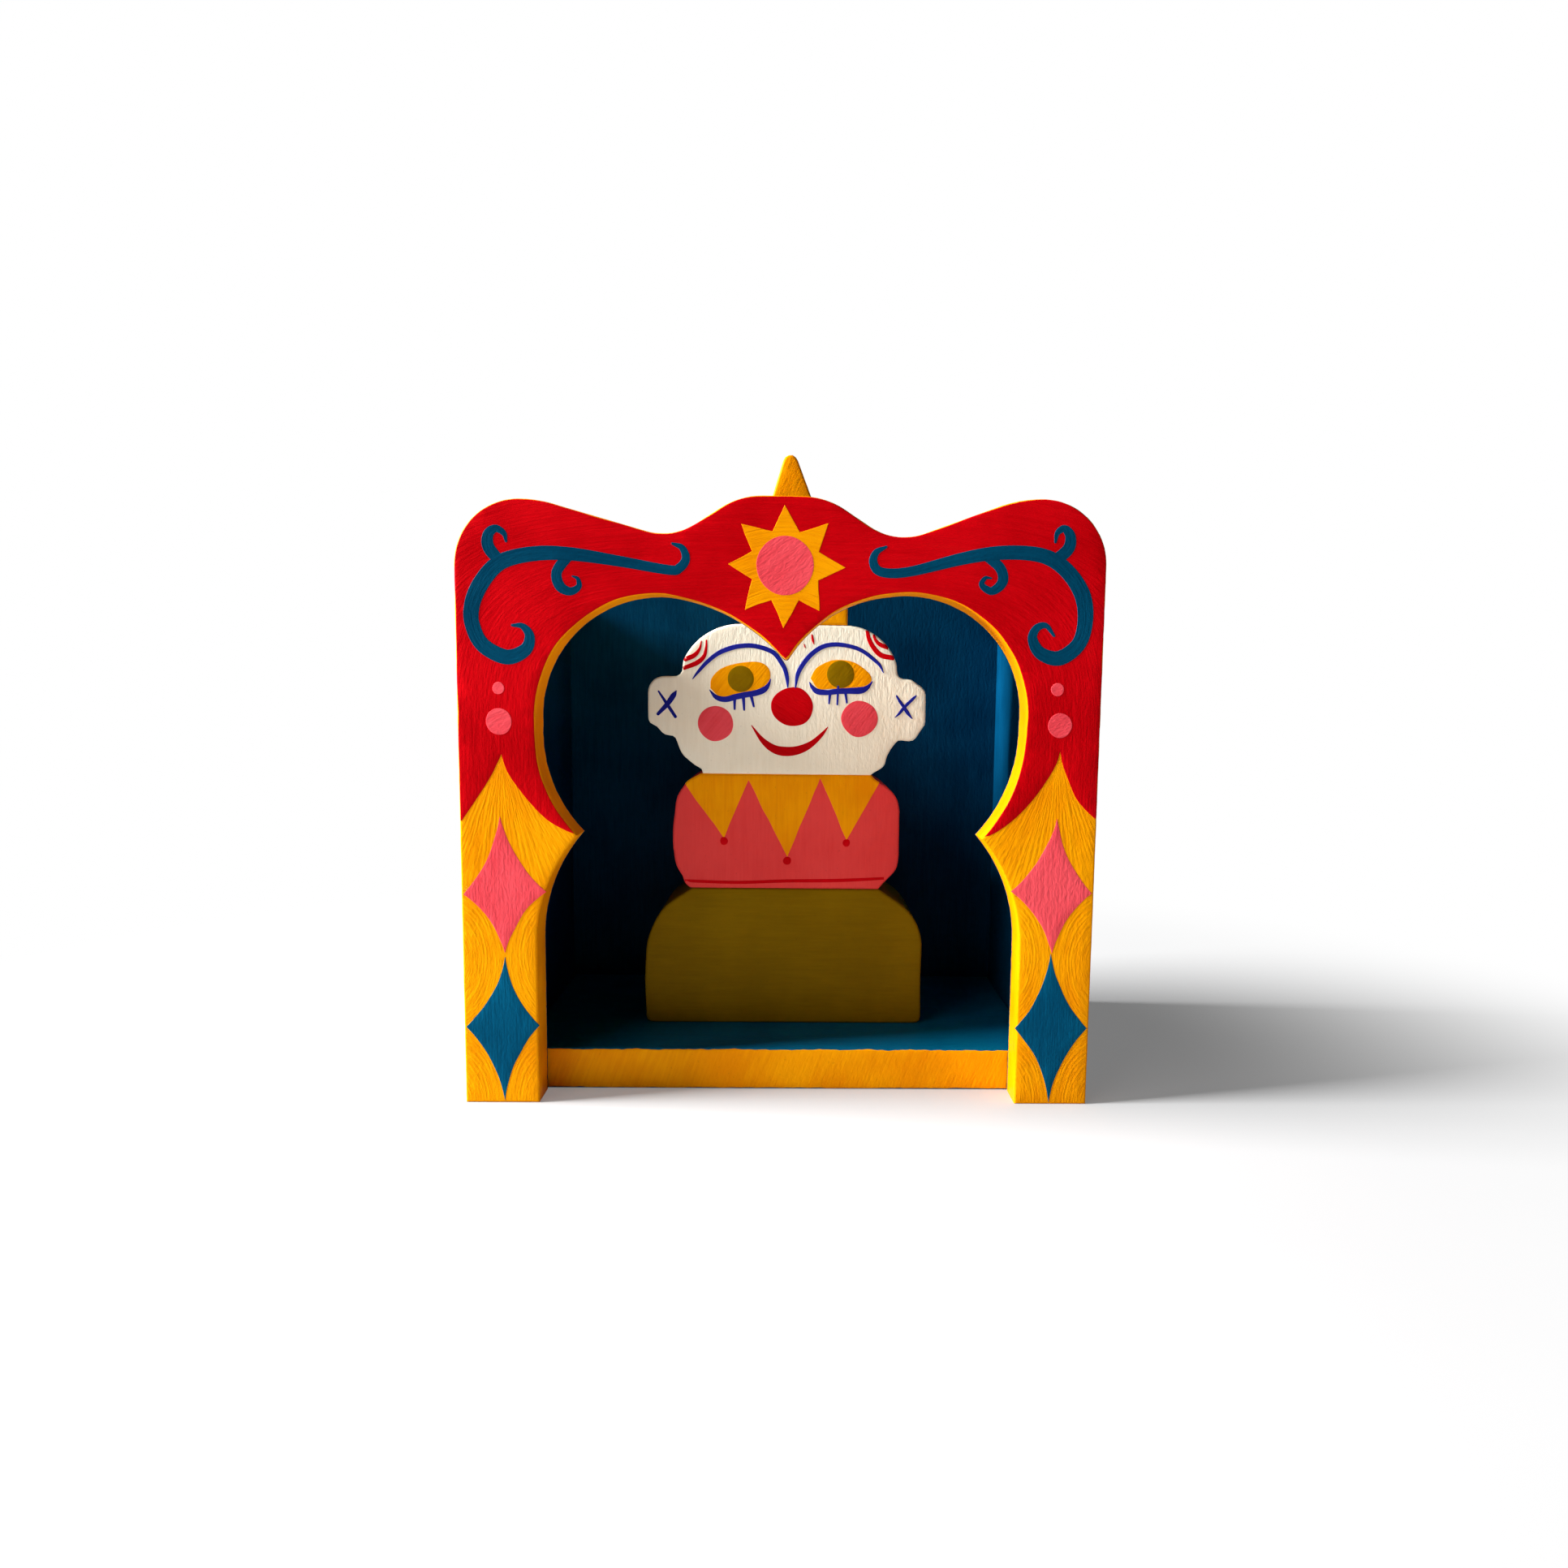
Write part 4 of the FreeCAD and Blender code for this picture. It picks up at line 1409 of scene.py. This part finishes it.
@dataclass
class Cabinet:
    """The walls, the back and the floor of the stage."""

    ease: float = 0.9
    step: float = 3.0
    grid: float = 4.0
    edge_inset: float = 0.35

    # The two ways of a board's face and then the way of its thickness.
    WAYS = {Axis.ACROSS: "yzx", Axis.DEEP: "xzy", Axis.UP: "xyz"}

    def build(self) -> None:
        """Builds each board, then the yellow on the floor's front edge."""
        # The left wall gets a darker copy of the blue as painted shade.
        self.board("left_wall", Axis.ACROSS, SHADED_LEFT_BLUE)
        self.board("right_wall", Axis.ACROSS, BLUE)
        # The back panel gets a darker copy of the blue as painted shade.
        self.board("back_panel", Axis.DEEP, SHADED_BACK_BLUE)
        self.board("floor_board", Axis.UP, FLOOR_BLUE)
        self.floor_edge()

    def board(self, node: str, axis: Axis, paint: Paint) -> None:
        """Dresses one plain board.

        Args:
            node: The CAD node that it stands for.
            axis: The way of its thickness.
            paint: Its finish.
        """
        low, high = (getattr(corner / MM, self.WAYS[axis]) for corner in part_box(node))
        strokes = level if axis is Axis.UP else upright
        board = Board("painted_" + node, Loop.rectangle(low.xy, high.xy), axis, low.z, high.z, self.ease,
                      strokes, float(len(node)), self.step, self.grid)
        board.dressed(paint, "box", node)

    def floor_edge(self) -> None:
        """The yellow along the front edge of the floor, ragged where the brush met the blue."""
        low, high = (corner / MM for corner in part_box("floor_board"))
        edge = Loop.rectangle(low.xz, high.xz).evened(1.0)
        loop = edge.offset(-self.edge_inset).wobbled(amount=0.35, wave=7.0, seed=4.0)
        loop = loop.evened(0.6).wobbled(amount=0.22, wave=2.1, seed=2.0)
        work = Work("floor_edge_coat")
        Coat(work, low.y, edge=edge, ease=self.ease).patch(loop, slanted(70.0), step=0.6, grid=3.0)
        work.finish(EVEN_YELLOW, "box")


@dataclass
class Clown:
    """Four loose blocks that stack on dowels: base, body, head and hat, with the painted face."""

    ease: float = 0.8
    head_ease: float = 0.75
    outline_step: float = 0.8
    step: float = 0.7
    grid: float = 2.0
    collar_step: float = 1.2
    collar_out: float = 0.06
    collar_start: float = 0.1

    # Brush strokes, each point with its half width.
    BROW_LEFT = ((-28.2, 122.6, 0.12), (-26.5, 124.8, 0.45), (-24.0, 127.6, 0.6), (-20.9, 130.2, 0.68),
                 (-17.7, 131.8, 0.74), (-13.7, 132.9, 0.72), (-8.8, 133.0, 0.7), (-3.3, 131.2, 0.7),
                 (-0.5, 127.9, 0.7), (0.7, 125.6, 0.68), (1.3, 123.1, 0.6), (1.5, 120.4, 0.2))
    BROW_RIGHT = ((3.9, 120.3, 0.2), (4.7, 124.7, 0.66), (6.7, 128.3, 0.72), (9.6, 131.4, 0.72),
                  (13.2, 133.4, 0.7), (17.5, 133.8, 0.66), (22.1, 133.0, 0.62), (25.3, 131.6, 0.6),
                  (28.5, 129.2, 0.55), (30.3, 127.5, 0.45), (31.4, 125.3, 0.12))
    LIDS = (((-22.9, 119.2, 0.14), (-20.8, 117.0, 0.71), (-18.0, 116.4, 0.89), (-14.8, 117.2, 0.94),
             (-11.7, 117.9, 0.92), (-8.5, 118.5, 0.94), (-6.0, 119.5, 0.94), (-4.7, 120.9, 0.59),
             (-3.9, 122.8, 0.14)),
            ((8.3, 122.0, 0.14), (9.1, 120.6, 0.53), (10.8, 119.2, 0.89), (14.1, 118.9, 0.8),
             (17.0, 119.3, 0.89), (20.6, 119.5, 0.94), (24.3, 119.7, 1.06), (26.4, 120.6, 0.71),
             (28.0, 122.5, 0.12)))
    LASHES = (((-15.1, 117.5, 0.55), (-15.1, 113.4, 0.32)), ((-12.4, 117.9, 0.6), (-12.1, 113.2, 0.3)),
              ((-10.0, 117.9, 0.55), (-9.1, 114.3, 0.32)), ((14.8, 119.1, 0.55), (14.5, 115.5, 0.26)),
              ((17.3, 120.7, 0.4), (17.1, 115.2, 0.26)), ((19.5, 119.5, 0.5), (20.1, 115.8, 0.28)))
    CROSSES = (((-38.8, 118.6, 0.28), (-36.2, 114.7, 0.5), (-33.6, 110.8, 0.5)),
               ((-33.3, 118.8, 0.2), (-34.2, 117.4, 0.8), (-36.2, 114.6, 0.75), (-39.0, 111.6, 0.5)),
               ((35.7, 118.1, 0.25), (36.7, 116.5, 0.45), (38.1, 114.6, 0.5), (39.3, 112.8, 0.55),
                (40.7, 111.1, 0.16)),
               ((41.8, 118.2, 0.2), (41.0, 117.4, 0.45), (38.3, 114.7, 0.5), (36.8, 112.8, 0.42),
                (35.4, 111.4, 0.12)))
    RINGS = (((-23.9, 134.6, 0.2), (-24.0, 132.2, 0.4), (-24.7, 129.6, 0.62), (-26.9, 127.6, 0.75),
              (-31.0, 125.9, 0.6)),
             ((-25.5, 134.2, 0.2), (-26.1, 131.8, 0.45), (-27.7, 129.9, 0.7), (-30.4, 128.7, 0.75)),
             ((26.0, 139.2, 0.5), (26.6, 136.0, 0.65), (28.2, 133.0, 0.75), (30.6, 130.7, 0.8),
              (34.3, 129.9, 0.75)),
             ((28.0, 138.0, 0.35), (28.6, 135.7, 0.45), (30.2, 134.0, 0.65), (33.2, 133.0, 0.75)))
    TICKS = (((8.9, 136.6, 0.25), (9.2, 135.1, 0.38), (9.5, 133.9, 0.14)),
             ((6.5, 133.8, 0.14), (6.8, 132.8, 0.2)))
    BELT = ((-33.0, 58.9, 0.45), (-14.6, 58.4, 0.5), (1.8, 59.0, 0.5), (18.6, 59.3, 0.55),
            (34.8, 60.2, 0.4))
    # Outlines, in X and Z.
    EYE_LEFT = ((-22.7, 119.8), (-22.3, 122.9), (-19.2, 126.0), (-13.7, 127.7), (-7.6, 128.1),
                (-4.5, 126.2), (-4.0, 123.1), (-5.1, 120.4), (-8.7, 118.5), (-14.9, 117.2),
                (-19.8, 117.3))
    EYE_RIGHT = ((8.6, 123.3), (10.3, 126.4), (14.5, 128.7), (18.2, 129.1), (22.6, 128.2), (26.9, 125.1),
                 (27.7, 122.6), (25.8, 120.8), (20.8, 120.2), (14.7, 120.0), (11.0, 120.0))
    SMILE_LOW = ((-9.9, 108.3), (-6.9, 103.2), (-3.9, 100.3), (-0.3, 98.9), (4.4, 99.2), (8.8, 101.3),
                 (12.5, 105.0), (14.3, 108.0))
    SMILE_TOP = ((14.1, 108.2), (12.2, 106.4), (8.7, 103.6), (4.4, 102.0), (0.4, 101.8), (-2.6, 102.4),
                 (-6.2, 104.7), (-9.7, 108.5))
    COLLAR_TOP = ((31.0, 90.6), (-30.2, 90.2))
    COLLAR = ((-18.3, 72.6), (-10.7, 91.1), (1.8, 66.8), (12.1, 92.0), (20.6, 72.3))
    # Round spots: the centre, then the radius or half the width and height.
    PUPILS = ((-13.2, 122.8, 4.1), (18.0, 124.6, 4.3))
    CHEEKS = ((-21.0, 108.8, 5.5), (24.1, 110.9, 5.7))
    COLLAR_DOTS = ((-18.3, 71.7, 1.3), (1.8, 65.5, 1.3), (20.6, 71.4, 1.2))
    NOSE = (3.0, 114.3, 6.6, 6.1)
    # Where the saw left the line: the place, how far along it shows, and the way it went.
    STRAYS = {"head": ((-40.8, 105.2, 3.0, 0.9, 1.9), (-32.5, 102.6, 3.6, -1.0, 0.2),
                       (39.5, 104.8, 3.4, 0.4, -0.9), (44.4, 106.2, 2.2, -0.6, 0.6),
                       (34.2, 104.4, 1.6, 0.3, -0.8), (42.5, 122.0, 2.2, -0.9, -0.5),
                       (-29.8, 99.4, 2.6, -0.9, -0.4), (-26.4, 94.4, 1.2, 0.9, 0.2),
                       (31.2, 96.2, 2.4, 1.1, -0.5)),
              "torso": ((-29.2, 91.4, 2.4, -1.3, 0.0), (-34.4, 82.6, 5.0, 0.8, 0.0),
                        (-34.4, 66.0, 3.4, 0.5, 0.0), (-29.2, 57.8, 2.4, -1.3, 0.0),
                        (35.4, 62.0, 3.2, 0.5, 0.0), (30.2, 91.4, 2.4, -0.8, 0.0)),
              "base": ((45.9, 28.0, 18.0, -0.6, 0.0), (-41.6, 44.6, 6.0, 0.7, 0.0),
                       (-43.1, 26.0, 9.0, -0.45, 0.0))}

    def build(self) -> None:
        """Builds the four blocks, then what is painted on the body and the head."""
        self.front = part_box("torso_block")[0].y / MM
        self.outlines: dict[str, Loop] = {}
        self.block("base_block", "base", OLIVE, self.ease, level, 5.0)
        # The body takes the shaded copy of the pink: painted shade.
        self.block("torso_block", "torso", SHADED_BODY_PINK, self.ease, upright, 6.0, "base_pegs")
        self.block("head_block", "head", WHITE, self.head_ease, upright, 7.0, "torso_pegs")
        self.block("hat_block", "hat", EVEN_YELLOW, self.ease, slanted(66.0), 8.0, "head_pegs")
        self.collar()
        self.face()

    def block(self, node: str, body: str, paint: Paint, ease: float, strokes: Strokes, seed: float,
              pegs: str = "") -> None:
        """Dresses one block.

        Args:
            node: The CAD node that it stands for.
            body: The CAD body that it moves with.
            paint: Its finish.
            ease: How far its edges are rounded.
            strokes: The way of the brush on its faces.
            seed: Tells its unevenness from the others'.
            pegs: The CAD node of the dowels that it stands on.
        """
        low, high = (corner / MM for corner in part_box(node))
        loop = Loop.of_front(node)
        # The solid of the head has sharp edges, and the other fronts stop where their edges are eased.
        if node != "head_block":
            loop = loop.offset(self.ease)
        loop = loop.evened(self.outline_step).drawn(self.STRAYS.get(body, ()))
        self.outlines[body] = loop
        board = Board("painted_" + node, loop, Axis.DEEP, low.y, high.y, ease, strokes, seed, pegs=pegs)
        board.dressed(paint, body, node)

    def strokes(self, name: str, paint: Paint, body: str, thick: float, lines: Sequence[Line]) -> None:
        """Several brush lines as one piece.

        Args:
            name: The piece's name.
            paint: Its finish.
            body: The CAD body that it moves with.
            thick: The thickness of the paint.
            lines: The lines, each point with its half width.
        """
        work = Work(name)
        for line in lines:
            self.coat(work, body, thick).line(line)
        work.finish(paint, body)

    def patches(self, name: str, paint: Paint, body: str, thick: float, loops: Sequence[Loop],
                way: Strokes) -> None:
        """Several filled shapes as one piece.

        Args:
            name: The piece's name.
            paint: Its finish.
            body: The CAD body that it moves with.
            thick: The thickness of the paint.
            loops: The outlines.
            way: The way of the brush.
        """
        work = Work(name)
        for loop in loops:
            self.coat(work, body, thick).patch(loop, way, self.step, self.grid)
        work.finish(paint, body)

    def coat(self, work: Work, body: str, thick: float) -> Coat:
        """A coat that follows the eased edge of one block."""
        ease = self.head_ease if body == "head" else self.ease
        return Coat(work, self.front, thick, edge=self.outlines[body], ease=ease)

    def collar(self) -> None:
        """The pointed collar with a dot at each tip, and the line above the hem."""
        outline = self.outlines["torso"].evened(self.collar_step).offset(self.collar_out)
        top = outline.stretch(*self.COLLAR_TOP)
        tips = [Vector(p) for p in self.COLLAR]
        points = [top[-1].lerp(tips[0], self.collar_start), *tips]
        legs = [along_line(leg, 1.0)[:-1] for leg in zip(points, points[1:])]
        zigzag = [p + Vector(stray(p, amount=0.3, wave=6.0, seed=3.0)) for leg in legs for p in leg]
        work = Work("collar")
        coat = Coat(work, self.front, sunk=0.45, edge=self.outlines["torso"], ease=self.ease, dip=0.55)
        coat.patch(Loop(spaced(top + zigzag + points[-1:])), upright, self.step, self.grid)
        work.finish(EVEN_YELLOW, "torso")
        dots = [Loop.round((x, z), r, r, count=24) for x, z, r in self.COLLAR_DOTS]
        dots = [dot.wobbled(amount=0.2, wave=3.0, seed=4.0) for dot in dots]
        self.patches("collar_dots", DARK_RED, "torso", 0.13, dots, slanted(30.0))
        self.strokes("hem_line", DARK_RED, "torso", 0.09, [self.BELT])

    def face(self) -> None:
        """The painted face and what goes with it on the head."""
        eyes = [Loop(smooth_line([*eye, eye[0]], 4)[:-1]) for eye in (self.EYE_LEFT, self.EYE_RIGHT)]
        self.patches("eyes", YELLOW, "head", 0.08, eyes, slanted(50.0))
        pupils = [Loop.round((x, z), r, r) for x, z, r in self.PUPILS]
        self.patches("pupils", OLIVE, "head", 0.13, pupils, slanted(40.0))
        lines = [self.BROW_LEFT, self.BROW_RIGHT, *self.LIDS, *self.LASHES, *self.CROSSES]
        self.strokes("eye_lines", NAVY, "head", 0.16, lines)
        x, z, wide, tall = self.NOSE
        nose = Loop.round((x, z), wide, tall).wobbled(amount=0.3, wave=6.0, seed=1.0)
        smile = Loop(smooth_line(self.SMILE_LOW, 4) + smooth_line(self.SMILE_TOP, 4))
        self.patches("nose_and_smile", RED, "head", 0.1, [nose, smile], slanted(-30.0))
        cheeks = [Loop.round((x, z), r, r) for x, z, r in self.CHEEKS]
        cheeks = [cheek.wobbled(amount=0.3, wave=6.0, seed=2.0) for cheek in cheeks]
        self.patches("cheeks", PINK, "head", 0.08, cheeks, slanted(50.0))
        self.strokes("temple_rings", RED, "head", 0.09, [*self.RINGS, *self.TICKS])


@dataclass
class Fastenings:
    """The dowels that the blocks stand on, and the pins that hold the box."""

    def build(self) -> None:
        """Gives the CAD nodes that stay their own finish."""
        beech, steel = BEECH.material(), STEEL.material()
        for name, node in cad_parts.items():
            if name.endswith("_pegs"):
                self.dress(node, beech, BEECH.slot)
            if name.endswith("_pins"):
                self.dress(node, steel, STEEL.slot)

    def dress(self, node: bpy.types.Object, material: bpy.types.Material, slot: str) -> None:
        """Puts one material on a CAD node.

        Args:
            node: The CAD node.
            material: The material.
            slot: The slot's name; not used.
        """
        node.data.materials.clear()
        node.data.materials.append(material)
        LOG.info("%s: %s", node.name, material.name)


@dataclass(frozen=True)
class Lamp:
    """A soft rectangular lamp that faces the object."""

    name: str
    turn: float
    rise: float
    size: Point
    far: float
    power: float

    AIM = Vector((0.0, -0.03, 0.11))

    def hang(self) -> None:
        """Adds the lamp, turned by its angles in front of the left and above the level."""
        area = bpy.data.lights.new(self.name, "AREA")
        area.energy = self.power
        area.shape = "RECTANGLE"
        area.size, area.size_y = self.size
        turn, rise = math.radians(self.turn), math.radians(self.rise)
        way = Vector((-math.cos(rise) * math.cos(turn), -math.cos(rise) * math.sin(turn), math.sin(rise)))
        lamp = bpy.data.objects.new(self.name, area)
        lamp.location = self.AIM + way * self.far
        lamp.rotation_euler = (-way).to_track_quat("-Z", "Y").to_euler()
        bpy.context.scene.collection.objects.link(lamp)


@dataclass
class Studio:
    """The floor, the light and the camera at the photograph's place."""

    camera_place: tuple[float, float, float] = (0.00362, -0.37648, 0.11834)
    pitch: float = 0.1124
    yaw: float = 0.0264
    roll: float = 0.0126
    lens: float = 26.09
    shift: Point = (-0.0249, 0.0246)
    sensor: float = 36.0
    nearest: float = 0.01
    room: float = 0.02
    shadow_reach: Point = (0.13, 0.36)
    shadow_lift: float = 0.19
    floor_reach: float = 8.0
    floor_cloud: float = 6.0
    floor_deep: Colour = (182, 182, 183)
    floor_pale: Colour = (190, 190, 190)

    PLAIN_WHITE = (1.0, 1.0, 1.0, 1.0)
    WINDOW = Lamp("window", 4.0, 25.0, (1.0, 0.73), 2.6, 335.0)
    FILL = Lamp("fill", 45.0, 25.0, (1.2, 1.2), 2.0, 8.5)

    def build(self) -> None:
        """Builds the floor, the lamps, the room and the camera."""
        self.floor()
        self.WINDOW.hang()
        self.FILL.hang()
        self.world()
        self.camera()

    def floor(self) -> None:
        """A pale floor that keeps the object's shadow and is white further away."""
        mesh = bpy.data.meshes.new("floor")
        reach = self.floor_reach
        corners = [(-reach, -reach, 0), (reach, -reach, 0), (reach, reach, 0), (-reach, reach, 0)]
        mesh.from_pydata(corners, [], [(0, 1, 2, 3)])
        ground = bpy.data.objects.new("floor", mesh)
        bpy.context.scene.collection.objects.link(ground)
        made, graph = new_material("pale_floor")
        place = graph.place()
        cloud = graph.noise(place, self.floor_cloud)
        colour = graph.mix(cloud, tint(*self.floor_deep), tint(*self.floor_pale))
        matt = graph.node("ShaderNodeBsdfDiffuse", {}, {"Color": colour}).outputs[0]
        away = graph.flow("ShaderNodeVectorMath", {"operation": "LENGTH"}, {0: place}, "Value")
        path = graph.node("ShaderNodeLightPath").outputs
        seen = Flow(graph, path["Is Camera Ray"]) + Flow(graph, path["Is Glossy Ray"])
        white = graph.node("ShaderNodeEmission", {}, {"Color": self.PLAIN_WHITE, "Strength": 1.0}).outputs[0]
        faded = away.band(*self.shadow_reach) * (1.0 - self.shadow_lift) + self.shadow_lift
        both = graph.node("ShaderNodeMixShader", {}, {0: seen * faded, 1: matt, 2: white})
        graph.node("ShaderNodeOutputMaterial", {}, {"Surface": both.outputs[0]})
        mesh.materials.append(made)

    def world(self) -> None:
        """A dim even room, seen as white behind the object."""
        made = bpy.data.worlds.new("room")
        bpy.context.scene.world = made
        made.use_nodes = True
        graph = Graph(made.node_tree)
        path = graph.node("ShaderNodeLightPath").outputs
        seen = Flow(graph, path["Is Camera Ray"]) + Flow(graph, path["Is Transmission Ray"])
        strength = seen.band(0.0, 1.0) * (1.0 - self.room) + self.room
        back = graph.node("ShaderNodeBackground", {}, {"Color": self.PLAIN_WHITE, "Strength": strength})
        graph.node("ShaderNodeOutputWorld", {}, {"Surface": back.outputs[0]})

    def camera(self) -> None:
        """The camera, with its tilt worked out from its three angles."""
        lens = bpy.data.cameras.new("camera")
        lens.lens = self.lens
        lens.sensor_width = self.sensor
        lens.shift_x, lens.shift_y = self.shift
        lens.clip_start = self.nearest
        ahead = Vector((math.sin(self.yaw) * math.cos(self.pitch), math.cos(self.yaw) * math.cos(self.pitch),
                        -math.sin(self.pitch)))
        right = Vector((math.cos(self.yaw), -math.sin(self.yaw), 0.0))
        up = right.cross(ahead)
        cosine, sine = math.cos(self.roll), math.sin(self.roll)
        axes = (right * cosine + up * sine, up * cosine - right * sine, -ahead)
        eye = bpy.data.objects.new("camera", lens)
        eye.matrix_world = Matrix.Translation(self.camera_place) @ Matrix(axes).transposed().to_4x4()
        bpy.context.scene.collection.objects.link(eye)
        bpy.context.scene.camera = eye
        bpy.context.scene.view_settings.view_transform = "Standard"


def main() -> None:
    """Builds every part of the scene in order."""
    logging.basicConfig(level=logging.INFO, format="%(message)s")
    for part in (StageFront(), Cabinet(), Clown(), Fastenings(), Studio()):
        part.build()
        LOG.info("%s done", type(part).__name__)


if __name__ == "__main__":
    main()
